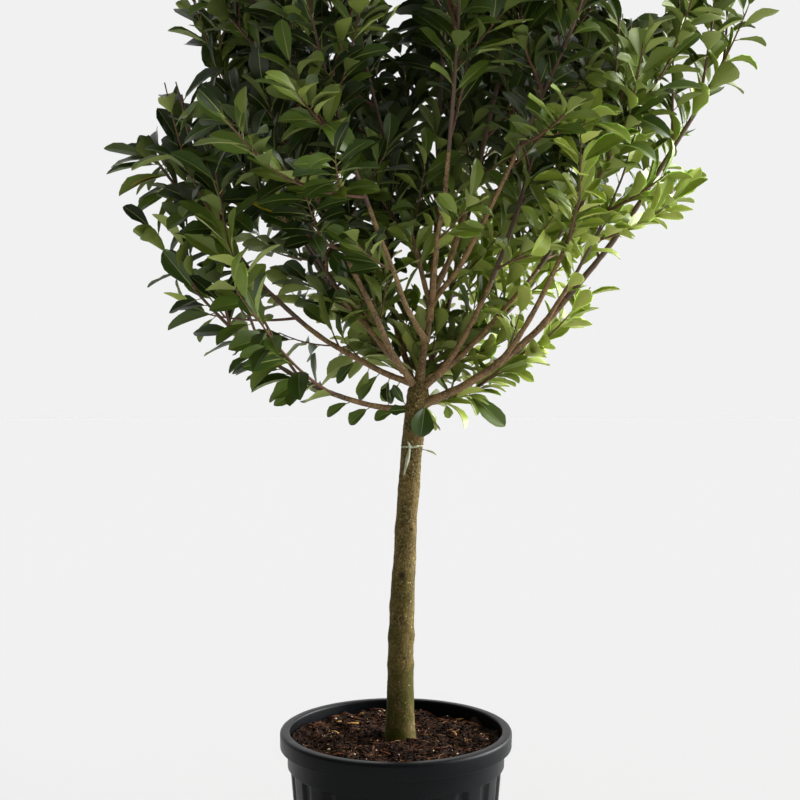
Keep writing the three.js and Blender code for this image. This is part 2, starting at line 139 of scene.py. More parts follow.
def bowed(foot: Array, bend: Array, tip: Array, share: Array) -> Array:
    """Points of an arc that sets off towards its bend and ends at its tip."""
    return foot * (1 - share) ** 2 + bend * 2 * share * (1 - share) + tip * share**2


def lattice_noise(points: Array, size: float, seed: int) -> Array:
    """Smooth seeded noise.

    Args:
        points: Places, in millimetres.
        size: Size of one lump.
        seed: Which field of lumps.

    Returns:
        A value from -1 to 1 for each place.
    """
    scaled = points / size
    cell = np.floor(scaled).astype(np.int64)
    local = scaled - cell
    blend = local * local * (3 - 2 * local)
    total = np.zeros(points.shape[:-1])
    for corner in itertools.product((0, 1), repeat=3):
        spot = cell + np.array(corner)
        mixed = (spot[..., 0] * 73856093 ^ spot[..., 1] * 19349663 ^ spot[..., 2] * 83492791) + seed * 7919
        mixed = ((mixed ^ (mixed >> 13)) * 1274126177) & WORD
        value = ((mixed ^ (mixed >> 16)) & 0xFFFF) / 0x7FFF - 1
        total += value * np.where(corner, blend, 1 - blend).prod(axis=-1)
    return total


@dataclass(frozen=True)
class Lumps:
    """One layer of a surface's relief: how high its lumps are, how wide, which field and how squat."""

    height: float
    size: float
    seed: int
    squat: float = 1.0

    def at(self, points: Array) -> Array:
        """The layer's height at points."""
        return self.height * lattice_noise(points * (1, 1, self.squat), self.size, self.seed)


class RandomStream:
    """A repeatable stream of numbers from 0 to 1, the one that the solids' twigs are drawn from."""

    def __init__(self, seed: int) -> None:
        """Starts the stream at a seed."""
        self.state = seed & WORD

    def __call__(self) -> float:
        """Draws the next number.

        Returns:
            The number.
        """
        self.state = (self.state + 0x6D2B79F5) & WORD
        mixed = ((self.state ^ (self.state >> 15)) * (self.state | 1)) & WORD
        mixed = ((mixed + (mixed ^ (mixed >> 7)) * (mixed | 61)) & WORD) ^ mixed
        return ((mixed ^ (mixed >> 14)) & WORD) / 2**32


def add_node(tree: NodeTree, kind: str, options: dict | None = None, **inputs) -> Node:
    """Adds a node to a tree.

    Args:
        tree: The node tree.
        kind: Blender's name of the node, less ShaderNode.
        options: Its settings, and inputs under their numbers.
        **inputs: Its inputs, with _ for a space. A value is set, and a socket, or a node's first output in
            use, is linked.

    Returns:
        The node.
    """
    node = tree.nodes.new(f"ShaderNode{kind}")
    sockets = {name.replace("_", " "): value for name, value in inputs.items()}
    for name, value in (options or {}).items():
        if isinstance(name, int):
            sockets[name] = value
        else:
            setattr(node, name, value)
    for name, value in sockets.items():
        if isinstance(value, Node):
            value = next(output for output in value.outputs if output.enabled)
        if isinstance(value, NodeSocket):
            tree.links.new(value, node.inputs[name])
        else:
            node.inputs[name].default_value = value
    return node


def new_material(name: str) -> tuple[Material, Callable[..., Node]]:
    """Makes an empty material.

    Args:
        name: Its name.

    Returns:
        The material and what adds a node to it.
    """
    material = bpy.data.materials.new(name)
    material.use_nodes = True
    material.node_tree.nodes.clear()
    return material, partial(add_node, material.node_tree)


def surfaced(material: Material, **inputs) -> Material:
    """Gives a material its shader.

    Args:
        material: The material.
        **inputs: The inputs of its Principled shader, as for a node.

    Returns:
        The material.
    """
    shader = add_node(material.node_tree, "BsdfPrincipled", **inputs)
    add_node(material.node_tree, "OutputMaterial", Surface=shader)
    return material


@dataclass
class MeshMaker:
    """Gathers the points and faces of one piece, with a material number for each face."""

    points: list[Array] = field(default_factory=list)
    corners: list[Array] = field(default_factory=list)
    sizes: list[Array] = field(default_factory=list)
    finishes: list[Array] = field(default_factory=list)
    hard: list[Array] = field(default_factory=list)
    count: int = 0

    def add(self, points: Array, faces: Sequence[Array], finish: int | Sequence = 0,
            hard: Array | None = None) -> None:
        """Adds a shape.

        Args:
            points: Its points, in millimetres.
            faces: Arrays of faces with the same number of corners, as point numbers.
            finish: The material number, or one array of them for each array of faces.
            hard: Flags of the points whose joining edges stay sharp.
        """
        points = points.reshape(-1, 3)
        for i, group in enumerate(faces):
            self.corners.append((group + self.count).ravel())
            self.sizes.append(np.full(len(group), group.shape[1]))
            number = finish if isinstance(finish, int) else finish[i]
            self.finishes.append(np.broadcast_to(number, len(group)))
        self.hard.append(np.zeros(len(points), bool) if hard is None else hard)
        self.points.append(points)
        self.count += len(points)

    def make(self, name: str, materials: Sequence[Material]) -> bpy.types.Object:
        """Makes the object.

        Args:
            name: The piece's name.
            materials: Its materials, in the order of the material numbers.

        Returns:
            The object, smooth but for its sharp edges.
        """
        mesh = bpy.data.meshes.new(name)
        points = np.concatenate(self.points) * MM
        corners = np.concatenate(self.corners)
        sizes = np.concatenate(self.sizes)
        mesh.vertices.add(len(points))
        mesh.vertices.foreach_set("co", points.astype(np.float32).ravel())
        mesh.loops.add(len(corners))
        mesh.loops.foreach_set("vertex_index", corners.astype(np.int32))
        mesh.polygons.add(len(sizes))
        mesh.polygons.foreach_set("loop_start", (np.cumsum(sizes) - sizes).astype(np.int32))
        mesh.polygons.foreach_set("material_index", np.concatenate(self.finishes).astype(np.int32))
        mesh.polygons.foreach_set("use_smooth", np.ones(len(sizes), bool))
        mesh.update(calc_edges=True)
        hard = np.concatenate(self.hard)
        if hard.any():
            edges = np.empty(len(mesh.edges) * 2, np.int32)
            mesh.edges.foreach_get("vertices", edges)
            sharp = mesh.attributes.new("sharp_edge", "BOOLEAN", "EDGE")
            sharp.data.foreach_set("value", hard[edges.reshape(-1, 2)].all(axis=1))
        for material in materials:
            mesh.materials.append(material)
        mesh.validate()
        piece = bpy.data.objects.new(name, mesh)
        bpy.context.scene.collection.objects.link(piece)
        return piece


def settle(piece: bpy.types.Object, nodes: Sequence[str] = ()) -> None:
    """Puts a finished piece on the plant.

    Args:
        piece: The piece.
        nodes: The CAD nodes that it stands for.
    """
    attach(piece, BODY)
    if nodes:
        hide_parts(*nodes)
    log.info("%s: %d faces", piece.name, len(piece.data.polygons))


def grid_quads(rows: int, columns: int, closed: bool = True) -> Array:
    """Faces of a grid of points.

    Args:
        rows: Rows of points.
        columns: Points in a row.
        closed: Whether each row runs round.

    Returns:
        The quads, facing outward on a tube whose rows run left-handed up it.
    """
    row, column = np.meshgrid(np.arange(rows - 1), np.arange(columns - (not closed)), indexing="ij")
    first = row * columns + column
    second = row * columns + (column + 1) % columns
    return np.stack((first, second, second + columns, first + columns), axis=-1).reshape(-1, 4)


def sweep(centre: Array, tangent: Array, side: Array, radius: Array, sides: int) -> Array:
    """Rings of points round a line.

    Args:
        centre: The line's points.
        tangent: Its direction at each.
        side: A sideways direction, one for all or one each.
        radius: The radius at each point, or for each point of each ring.
        sides: Points in a ring.

    Returns:
        The rings, one row for each point.
    """
    turn = turns(sides)
    across = unit(np.cross(tangent, side))
    level = np.cross(across, tangent)
    spoke = np.cos(turn)[:, None] * level[:, None, :] + np.sin(turn)[:, None] * across[:, None, :]
    wide = radius[..., None] if radius.ndim == 2 else radius[:, None, None]
    return centre[:, None, :] + spoke * wide


def add_tube(maker: MeshMaker, rings: Array, finish: int = 0) -> None:
    """Adds rings to a mesh as a tube that is closed at both ends.

    Args:
        maker: The mesh.
        rings: Rows of points.
        finish: The material number.
    """
    rows, sides = rings.shape[:2]
    ends = np.stack((rings[0].mean(axis=0), rings[-1].mean(axis=0)))
    here = np.arange(sides)
    after = (here + 1) % sides
    last = (rows - 1) * sides
    foot = np.stack((after, here, np.full(sides, rows * sides)), axis=-1)
    tip = np.stack((last + here, last + after, np.full(sides, rows * sides + 1)), axis=-1)
    points = np.concatenate((rings.reshape(-1, 3), ends))
    maker.add(points, (grid_quads(rows, sides), np.concatenate((foot, tip))), finish)


@dataclass(frozen=True)
class MouldedPolypropylene:
    """Black polypropylene, injection moulded: charcoal with a soft sheen, faint flow marks and dust."""

    name: str = "polypropylene_moulded_black"
    colour: str = "07090b"
    dust: str = "2b2a27"
    roughness: float = 0.36
    ior: float = 1.49
    # The fine grain of the mould breaks up most of the mirror light.
    shine: float = 0.14
    flow_mark: float = 26.0
    grain: float = 1.6

    def material(self) -> Material:
        """Makes the material.

        Returns:
            The material.
        """
        material, add = new_material(self.name)
        place = add("TexCoord").outputs["Object"]
        flow = add("TexNoise", Vector=place, Scale=per_mm(self.flow_mark), Detail=5.0)
        grain = add("TexNoise", Vector=place, Scale=per_mm(self.grain), Detail=2.0)
        normal = add("NewGeometry").outputs["Normal"]
        upward = add("SeparateXYZ", Vector=normal).outputs["Z"]
        lying = add("MapRange", Value=upward, From_Min=0.1, To_Min=0.02, To_Max=0.4)
        patch = add("MapRange", Value=flow, From_Min=0.45, From_Max=0.75)
        share = add("Math", {"operation": "MULTIPLY", 0: lying, 1: patch})
        colour = add("Mix", {"data_type": "RGBA"}, Factor=share, A=linear(self.colour), B=linear(self.dust))
        rough = add("MapRange", Value=flow, To_Min=self.roughness - 0.08, To_Max=self.roughness + 0.14)
        bump = add("Bump", Strength=0.12, Distance=0.0004, Height=grain)
        return surfaced(material, Base_Color=colour, Roughness=rough, IOR=self.ior, Normal=bump,
                        Specular_IOR_Level=self.shine)


@dataclass(frozen=True)
class BarkCompost:
    """Composted bark, sieved: a dark, damp, crumbly brown with paler fibres in it."""

    name: str = "bark_compost_sieved"
    dark: str = "0d0805"
    light: str = "38241a"
    roughness: float = 0.92
    # Crumbs are full of air, so the index is low.
    ior: float = 1.2
    crumb: float = 7.0
    fibre: float = 2.2

    def material(self) -> Material:
        """Makes the material.

        Returns:
            The material.
        """
        material, add = new_material(self.name)
        place = add("TexCoord").outputs["Object"]
        crumb = add("TexNoise", Vector=place, Scale=per_mm(self.crumb), Detail=6.0)
        fibre = add("TexNoise", Vector=place, Scale=per_mm(self.fibre), Detail=3.0)
        share = add("MapRange", Value=crumb, From_Min=0.38, From_Max=0.7)
        colour = add("Mix", {"data_type": "RGBA"}, Factor=share, A=linear(self.dark), B=linear(self.light))
        bump = add("Bump", Strength=0.7, Distance=0.002, Height=fibre)
        return surfaced(material, Base_Color=colour, Roughness=self.roughness, IOR=self.ior, Normal=bump)


@dataclass(frozen=True)
class MagnoliaBark:
    """Smooth magnolia bark, weathered: olive to grey brown, finely speckled, algae low down, corky pores."""

    name: str
    base: str
    shade: str
    weathered: str
    algae: str
    pore_colour: str
    algae_share: float
    algae_top: float
    # Bark is porous and throws back less mirror light than its index alone gives.
    mirror: float
    algae_foot: float = 330
    roughness: float = 0.8
    mottle: float = 24.0
    # Real grain and pores are about two thirds as large, too fine to show, so they are drawn coarser.
    grain: float = 3.1
    pore: float = 12.0
    scars: tuple[tuple[float, float, float, float], ...] = ()
    scar_colour: str = "1c140a"

    def material(self) -> Material:
        """Makes the material.

        Returns:
            The material.
        """
        material, add = new_material(self.name)
        place = add("TexCoord").outputs["Object"]
        drawn = add("Mapping", Vector=place, Scale=(1.0, 1.0, 0.8))
        mottle = add("TexNoise", Vector=drawn, Scale=per_mm(self.mottle), Detail=6.0)
        grain = add("TexNoise", Vector=drawn, Scale=per_mm(self.grain), Detail=4.0)
        pore = add("TexVoronoi", Vector=place, Scale=per_mm(self.pore))
        height = add("SeparateXYZ", Vector=place).outputs["Z"]
        low = add("MapRange", Value=height, From_Min=self.algae_top * MM, From_Max=self.algae_foot * MM,
                  To_Min=0.15)
        film = add("TexNoise", Vector=drawn, Scale=per_mm(self.mottle * 1.6), Detail=5.0)
        moist = add("MapRange", Value=film, From_Min=0.28, From_Max=0.52, To_Max=self.algae_share)
        mixed = add("MapRange", Value=mottle, From_Min=0.36, From_Max=0.64)
        worn = add("MapRange", Value=grain, From_Min=0.44, From_Max=0.7, To_Max=0.6)
        green = add("Math", {"operation": "MULTIPLY", 0: low, 1: moist})
        speck = add("MapRange", Value=pore, From_Min=0.13, From_Max=0.07, To_Max=0.8)
        layers = [(mixed, self.base), (worn, self.weathered), (green, self.algae), (speck, self.pore_colour)]
        for x, y, z, radius in self.scars:
            scar = (x * MM, y * MM, z * MM)
            away = add("VectorMath", {"operation": "DISTANCE", 0: place, 1: scar})
            dead = add("MapRange", Value=away, From_Min=1.3 * radius * MM, From_Max=0.4 * radius * MM,
                       To_Max=0.85)
            layers.append((dead, self.scar_colour))
        colour: Colour | Node = linear(self.shade)
        for share, over in layers:
            colour = add("Mix", {"data_type": "RGBA"}, Factor=share, A=colour, B=linear(over))
        relief = add("Math", {"operation": "ADD", 0: grain, 1: speck})
        bump = add("Bump", Strength=0.5, Distance=0.001, Height=relief)
        return surfaced(material, Base_Color=colour, Roughness=self.roughness, Normal=bump,
                        Specular_IOR_Level=self.mirror)


@dataclass(frozen=True)
class PlainFinish:
    """A finish in one colour, for the many small pieces that differ from spray to spray."""

    name: str
    colour: str
    roughness: float
    ior: float = 1.45
    # Share of the light that scatters inside, and how deep each colour goes: a thin leaf glows yellow green.
    scatter: float = 0.0
    depth: Triple = (0.6, 1.0, 0.3)

    def material(self) -> Material:
        """Makes the material.

        Returns:
            The material.
        """
        material, _ = new_material(self.name)
        return surfaced(material, Base_Color=linear(self.colour), Roughness=self.roughness, IOR=self.ior,
                        Subsurface_Weight=self.scatter, Subsurface_Radius=self.depth, Subsurface_Scale=MM)


class Tone(Enum):
    """The greens that sprays are dealt: the blade's colour above and below."""

    DEEP = ("24330e", "465425")
    SHADE = ("394e19", "606e31")
    MID = ("546923", "778537")
    OLIVE = ("718333", "8f9b51")
    FRESH = ("7d9231", "9aa84c")
    GLOW = ("99aa40", "b0ba5c")
    YELLOW = ("b39c2c", "ab983c")
    DRIED = ("85794f", "746743")


@dataclass(frozen=True)
class MagnoliaLeaf:
    """Magnolia leaf, grown: glossy with wax above, dull and paler below, and aglow where it is young."""

    gloss: float = 0.36
    dull: float = 0.65
    dried: float = 0.8
    wax_ior: float = 1.42
    under_ior: float = 1.4
    glow: float = 0.55
    # Tones that scatter light inside; GreenRule deals FRESH and GLOW low on the right as a painted backlit
    # glow.
    young: tuple[Tone, ...] = (Tone.FRESH, Tone.GLOW, Tone.YELLOW)
    midrib: PlainFinish = PlainFinish("leaf_midrib_pale", "87924a", 0.55)

    def materials(self) -> list[Material]:
        """Makes the materials of every tone.

        Returns:
            Upper side and underside of each tone, then the midrib.
        """
        made = []
        for tone in Tone:
            upper, under = tone.value
            name = tone.name.lower()
            glow = self.glow if tone in self.young else 0.0
            gloss = self.dried if tone is Tone.DRIED else self.gloss
            made.append(PlainFinish(f"leaf_blade_glossy_{name}", upper, gloss, self.wax_ior, glow))
            made.append(PlainFinish(f"leaf_underside_dull_{name}", under, self.dull, self.under_ior, glow))
        return [finish.material() for finish in (*made, self.midrib)]


@dataclass
class NurseryPot:
    """The moulded pot: rolled rim, plain band under it and a tapering wall with flat-topped flutes."""

    height: float = 345
    rim_radius: float = 200
    rim_drop: float = 27
    rim_round: float = 6
    mouth_radius: float = 183
    mouth_round: float = 4
    band_radius: float = 186.5
    band_drop: float = 33
    wall_radius: float = 182
    foot_radius: float = 157
    foot_round: float = 4
    wall: float = 6.5
    floor: float = 6
    flutes: int = 20
    flute_width: float = 20
    flute_depth: float = 3.6
    flute_foot: float = 22
    edge: float = 0.8
    flute_close: Span = (3, 2)
    # Where the wall has points: away from the middle between two flutes, at their lower ends, evenly
    # between both ends, and below their upper ends.
    flute_steps: tuple[float, ...] = (0, 5, 8.6, 9.4, 10.2, 11, 13, 18, 23)
    flute_start: float = 2
    flute_even: Span = (12, 14)
    flute_rows: int = 16
    flute_end: tuple[float, ...] = (6, 3, 2.2)
    small_round: float = 1.2
    round_steps: int = 5
    draft: float = 0.6
    warp: float = 0.25
    warp_size: float = 90
    warp_seed: int = 3
    finish: MouldedPolypropylene = MouldedPolypropylene()

    @property
    def band_top(self) -> float:
        """Height of the rim's lower edge."""
        return self.height - self.rim_drop

    @property
    def flute_top(self) -> float:
        """Height of the band's lower edge, where the flutes begin."""
        return self.band_top - self.band_drop

    def profile(self) -> Array:
        """Lays out the section, from the middle of the underside round to the inside floor.

        Returns:
            Radius and height of its points.
        """
        corners = [
            (0, 0, 0),
            (self.foot_radius, 0, self.foot_round),
            (self.wall_radius, self.flute_top, self.small_round),
            (self.band_radius, self.flute_top, self.small_round),
            (self.band_radius + self.draft, self.band_top, self.small_round),
            (self.rim_radius - self.draft, self.band_top, self.small_round),
            (self.rim_radius, self.height, self.rim_round),
            (self.mouth_radius, self.height, self.mouth_round),
            (self.mouth_radius, self.band_top, self.small_round),
            (self.wall_radius - self.wall, self.flute_top, self.small_round),
            (self.foot_radius - self.wall, self.floor, self.small_round),
            (0, self.floor, 0),
        ]
        places = np.array([corner[:2] for corner in corners], float)
        line = [places[0]]
        for before, here, after, (*_, round_off) in zip(places, places[1:], places[2:], corners[1:]):
            back, ahead = unit(before - here), unit(after - here)
            start, end = here + back * round_off, here + ahead * round_off
            for share in np.linspace(0, 1, self.round_steps):
                line.append(lerp(lerp(start, here, share), lerp(here, end, share), share))
        line.append(places[-1])
        return np.array(line)

    def rings(self) -> Array:
        """Adds rows to the section where the flutes run and end.

        Returns:
            Radius and height of its points.
        """
        line = self.profile()
        starts = (-self.flute_start, -self.edge, 0, self.edge, self.flute_start)
        heights = [self.flute_foot + step for step in starts]
        low, high = self.flute_foot + self.flute_even[0], self.flute_top - self.flute_even[1]
        heights += list(np.linspace(low, high, self.flute_rows))
        heights += [self.flute_top - step for step in self.flute_end]
        wall = [(lerp(self.foot_radius, self.wall_radius, z / self.flute_top), z) for z in heights]
        outer_foot = 1 + self.round_steps
        return np.concatenate((line[:outer_foot], np.array(wall), line[outer_foot:]))

    def build(self) -> None:
        """Makes the pot, with its flutes pressed into the outer wall."""
        pitch = 2 * math.pi / self.flutes
        steps = np.array(self.flute_steps) / self.wall_radius
        steps = np.concatenate((steps, [pitch / 2], pitch - steps[:0:-1]))
        angle = ((np.arange(self.flutes)[:, None] + 0.5) * pitch + steps).ravel()
        rings = self.rings()
        radius, height = rings[:, :1], rings[:, 1:]
        off = (0.5 - np.abs((angle / pitch) % 1 - 0.5)) * pitch * self.wall_radius
        across = 1 - smoothstep(off, self.flute_width / 2 - self.edge, self.flute_width / 2 + self.edge)
        upright = smoothstep(height, self.flute_foot - self.edge, self.flute_foot + self.edge)
        upright = upright * (1 - smoothstep(height, *(self.flute_top - step for step in self.flute_close)))
        outside = (np.arange(len(rings)) < len(rings) // 2)[:, None]
        inward = self.flute_depth * across * upright * outside
        points = np.stack(((radius - inward) * np.cos(angle), (radius - inward) * np.sin(angle),
                           np.broadcast_to(height, inward.shape)), axis=-1)
        lies = (height > self.flute_foot)[..., None] & (radius > self.foot_radius)[..., None]
        warp = self.warp * lattice_noise(points, self.warp_size, self.warp_seed)
        points = points + spokes(angle) * lies * warp[..., None]
        maker = MeshMaker()
        add_tube(maker, points[1:-1])
        settle(maker.make("fluted_pot", [self.finish.material()]), ["nursery_pot"])


@dataclass(frozen=True)
class Litter:
    """One kind of bit that lies on the compost."""

    count: int
    length: Span
    width: float
    thick: float
    bend: float
    rows: int
    sides: int
    finish: PlainFinish


@dataclass
class PottingMix:
    """Bark compost: lumpy, higher round the stem, strewn with chips, fibres and flakes."""

    middle_z: float = 328.6
    middle_radius: float = 44
    edge_z: float = 325
    edge_radius: float = 181.5
    floor_z: float = 290
    skirt: float = 0.97
    hub: float = 0.004
    columns: int = 220
    rows: int = 80
    seed: int = 11
    lumps: tuple[Lumps, ...] = (
        Lumps(6.0, 38, 11), Lumps(4.4, 16, 12), Lumps(2.4, 6, 13), Lumps(0.9, 2.6, 14))
    finish: BarkCompost = BarkCompost()
    litter: tuple[Litter, ...] = (
        Litter(1500, (2.5, 8), 0.7, 0.5, 0.0, 4, 5, PlainFinish("bark_crumb_composted", "160e09", 0.95, 1.2)),
        Litter(420, (4, 11), 0.5, 0.3, 0.1, 4, 5, PlainFinish("bark_crumb_brown", "2f1d12", 0.9, 1.2)),
        Litter(130, (8, 26), 0.26, 0.14, 0.12, 4, 5, PlainFinish("bark_chip_shredded", "4d2c1b", 0.85, 1.2)),
        Litter(1100, (9, 34), 0.03, 0.026, 0.4, 5, 3,
               PlainFinish("bark_fibre_red_brown", "5d3a24", 0.85, 1.2)),
        Litter(300, (10, 30), 0.05, 0.04, 0.3, 5, 3, PlainFinish("wood_splinter_tan", "93683f", 0.8)),
        Litter(34, (8, 26), 0.24, 0.03, 0.9, 6, 4, PlainFinish("dry_leaf_flake_ochre", "b08238", 0.7)),
        Litter(60, (2, 7), 0.6, 0.5, 0.0, 4, 5, PlainFinish("wood_chip_pale", "cbb793", 0.8)),
    )
    litter_edge: float = 9
    litter_hub: float = 0.02
    litter_tilt: float = 0.25
    litter_roll: float = 0.5
    litter_raised: float = 0.3
    litter_blunt: float = 1.08
    litter_end: float = 0.05
    litter_level: float = 0.12
    litter_vary: Span = (0.75, 1.15)
    thinnest: Span = (0.9, 0.7)

    def height(self, places: Array) -> Array:
        """Finds the height of the compost with its lumps.

        Args:
            places: Level places, as x and y.

        Returns:
            The height at each.
        """
        out = np.linalg.norm(places, axis=-1)
        share = 1 - np.clip((out - self.middle_radius) / (self.edge_radius - self.middle_radius), 0, 1)
        rise = lerp(self.edge_z, self.middle_z, smoothstep(share, 0, 1))
        flat = np.concatenate((places, np.zeros((*places.shape[:-1], 1))), axis=-1)
        for layer in self.lumps:
            rise = rise + layer.at(flat)
        return rise

    def build(self) -> None:
        """Makes the compost and strews its litter."""
        spoke = spokes(turns(self.columns))[:, :2]
        out = self.edge_radius * np.linspace(1, self.hub, self.rows)
        flat = spoke * out[:, None, None]
        top = np.concatenate((flat, self.height(flat)[..., None]), axis=-1)
        skirt = np.concatenate((flat[0] * self.skirt, np.full((self.columns, 1), self.floor_z)), axis=-1)
        maker = MeshMaker()
        add_tube(maker, np.concatenate((skirt[None], top)))
        settle(maker.make("potting_mix", [self.finish.material()]), ["potting_soil"])
        litter = MeshMaker()
        random = np.random.default_rng(self.seed)
        for i, kind in enumerate(self.litter):
            self.strew(litter, random, kind, i)
        finishes = [kind.finish.material() for kind in self.litter]
        settle(litter.make("compost_litter", finishes))

    def strew(self, maker: MeshMaker, random: Random, kind: Litter, finish: int) -> None:
        """Lays one kind of litter on the compost.

        Args:
            maker: The mesh that it goes to.
            random: Where its places are drawn from.
            kind: What it is.
            finish: Its material number.
        """
        out = (self.edge_radius - self.litter_edge) * np.sqrt(random.uniform(self.litter_hub, 1, kind.count))
        turn = random.uniform(0, 2 * math.pi, kind.count)
        places = out[:, None] * spokes(turn)[:, :2]
        for place, height in zip(places, self.height(places)):
            length = random.uniform(*kind.length)
            heading = random.uniform(0, 2 * math.pi)
            tilt = random.uniform(-self.litter_tilt, self.litter_tilt)
            axis = unit(np.array([math.cos(heading), math.sin(heading), tilt]))
            roll = random.uniform(-self.litter_roll, self.litter_roll)
            side = turned_from(axis, sides_of(axis), math.pi / 2, roll)
            share = np.linspace(-0.5, 0.5, kind.rows)
            lift = np.cross(axis, side)
            bow = kind.bend * length * random.uniform(-1, 1) * (share**2 - self.litter_level)
            line = share[:, None] * length * axis + bow[:, None] * unit(side * random.uniform(-1, 1) + lift)
            centre = line + np.array([*place, height + kind.thick * length * self.litter_raised])
            swell = np.sqrt(np.clip(self.litter_blunt - (2 * share) ** 2, self.litter_end, None))
            swell = swell * random.uniform(*self.litter_vary, kind.rows)
            width, thick = (np.maximum(part * length, least) * swell / 2
                            for part, least in zip((kind.width, kind.thick), self.thinnest))
            angle = turns(kind.sides) + random.uniform(0, 1)
            ring = (np.cos(angle)[:, None] * side)[None] * width[:, None, None]
            ring = ring - (np.sin(angle)[:, None] * lift)[None] * thick[:, None, None]
            add_tube(maker, centre[:, None, :] + ring, finish)


@dataclass
class Wood:
    """What every woody line has: a centre line, a tapering girth and a bare share before its foliage."""

    name: str
    bare: float
    side: Array
    rings_apart: float
    sides: int

    def arc(self, share: Array) -> Array:
        """Points of the plain centre line."""
        raise NotImplementedError

    def radius(self, share: Array) -> Array:
        """The girth's radius."""
        raise NotImplementedError

    def tangent(self, share: Array) -> Array:
        """Directions of the centre line."""
        step = 1e-3
        return unit(self.arc(np.asarray(share) + step) - self.arc(np.asarray(share) - step))

    @property
    def length(self) -> float:
        """Length of the centre line."""
        line = self.line(0, 1, LENGTH_STEPS)
        return float(np.linalg.norm(np.diff(line, axis=0), axis=1).sum())

    def line(self, low: float, high: float, steps: int) -> Array:
        """Points along a share of the centre line."""
        return self.arc(np.linspace(low, high, steps + 1))


@dataclass(frozen=True)
class Knot:
    """A scar or swelling on the trunk: its height, its angle from the right towards the back, and size."""

    height: float
    angle: float
    spread: float
    relief: float


@dataclass
class Trunk(Wood):
    """The clear stem: flared at the foot, slimmest above the middle, a gnarled knuckle at the fork."""

    name: str = "trunk"
    bare: float = 1.0
    side: Array = field(default_factory=lambda: np.array([0.0, 1.0, 0.0]))
    rings_apart: float = 2.2
    sides: int = 88
    foot_x: float = 7
    foot_z: float = 328.9
    top_z: float = 945
    lean: float = 33
    lean_power: float = 2.2
    foot_radius: float = 24
    waist_radius: float = 18
    waist_at: float = 0.62
    head_radius: float = 19.5
    close_from: float = 0.95
    top_radius: float = 12
    flare: float = 3.6
    flare_length: float = 0.05
    flare_lobes: int = 3
    lobe_share: float = 0.3
    sunk: float = 14
    lumps: tuple[Lumps, ...] = (
        Lumps(0.9, 26, 5, 0.7), Lumps(0.35, 7, 6, 0.6), Lumps(1.0, 60, 4, 1.2), Lumps(0.22, 2.8, 7, 0.6))
    gnarls: tuple[Lumps, ...] = (Lumps(2.8, 15, 8), Lumps(1.3, 6, 9))
    gnarl_rise: float = 1.0
    gnarl_foot: Span = (872, 904)
    gnarl_head: Span = (935, 945)
    knots: tuple[Knot, ...] = (
        Knot(687, -62, 8, 2.4), Knot(609, -100, 7, -1.4), Knot(614, -88, 9, 1.2), Knot(503, -6, 9, 2.2),
        Knot(505, 186, 10, 1.3), Knot(455, -4, 6, 1.4), Knot(455, 190, 9, 1.1), Knot(555, 184, 9, 1.3),
        Knot(640, 6, 8, 1.0), Knot(520, -58, 6, 1.2), Knot(690, 150, 10, 1.8), Knot(575, 80, 9, 1.8),
        Knot(780, 70, 8, 1.6), Knot(430, 100, 9, 1.5),
    )
    knot_flat: float = 0.8
    dimple: float = 0.4
    dimple_narrow: float = 2.6
    joints: tuple[float, ...] = (455, 505, 556, 612, 688, 762, 840)
    joint_rise: float = 0.45
    joint_width: float = 6
    joint_slant: float = 2.5

    def arc(self, share: Array) -> Array:
        """Finds the centre line, upright at the foot and drifting sideways towards the fork.

        Args:
            share: Shares of the height.

        Returns:
            The line's points.
        """
        share = np.asarray(share, float)
        drift = self.lean * np.maximum(share, 0) ** self.lean_power
        height = lerp(self.foot_z, self.top_z, share)
        return np.stack((self.foot_x + drift, np.zeros_like(drift), height), axis=-1)

    def share_at(self, height: float | Array) -> float | Array:
        """The share of the trunk at a height."""
        return (height - self.foot_z) / (self.top_z - self.foot_z)

    def radius(self, share: Array, angle: Array | float = 0.0) -> Array:
        """Finds the girth, with its flare and waist.

        Args:
            share: Shares of the height.
            angle: Angles round the stem.

        Returns:
            The radius.
        """
        share = np.asarray(share, float)
        below = np.maximum(0, 1 - share / self.waist_at)
        above = np.maximum(0, (share - self.waist_at) / (1 - self.waist_at))
        full = self.waist_radius + (self.foot_radius - self.waist_radius) * below
        full = full + (self.head_radius - self.waist_radius) * above
        lobes = 1 + self.lobe_share * np.cos(self.flare_lobes * angle)
        full = full + self.flare * lobes * np.exp(-np.maximum(share, 0) / self.flare_length)
        return lerp(full, self.top_radius, smoothstep(share, self.close_from, 1))

    def rings(self) -> Array:
        """Lays out the trunk with its bark's relief: lumps, a gnarled head, joints between years and knots.

        Returns:
            Rings of points, from the foot up.
        """
        low = -self.sunk / (self.top_z - self.foot_z)
        share = np.linspace(low, 1, int(self.length / self.rings_apart))
        angle = turns(self.sides)
        radius = self.radius(share[:, None], angle)
        plain = sweep(self.arc(share), self.tangent(share), self.side, radius, self.sides)
        height = plain[..., 2]
        relief = sum(layer.at(plain) for layer in self.lumps)
        gnarl = smoothstep(height, *self.gnarl_foot) * (1 - smoothstep(height, *self.gnarl_head))
        relief += gnarl * (sum(layer.at(plain) for layer in self.gnarls) + self.gnarl_rise)
        centre = self.arc(share)[:, None, :]
        bearing = np.arctan2(plain[..., 1] - centre[..., 1], plain[..., 0] - centre[..., 0])
        for joint in self.joints:
            slant = joint + self.joint_slant * np.sin(bearing + joint)
            relief += self.joint_rise * np.exp(-(((height - slant) / self.joint_width) ** 2))
        for knot in self.knots:
            turn = (bearing - math.radians(knot.angle) + math.pi) % (2 * math.pi) - math.pi
            away = np.hypot(turn * radius, (height - knot.height) * self.knot_flat) / knot.spread
            dimple = self.dimple * knot.relief * np.exp(-((away * self.dimple_narrow) ** 2))
            relief += knot.relief * np.exp(-(away**2)) - dimple
        outward = unit(plain - centre)
        return plain + outward * relief[..., None]


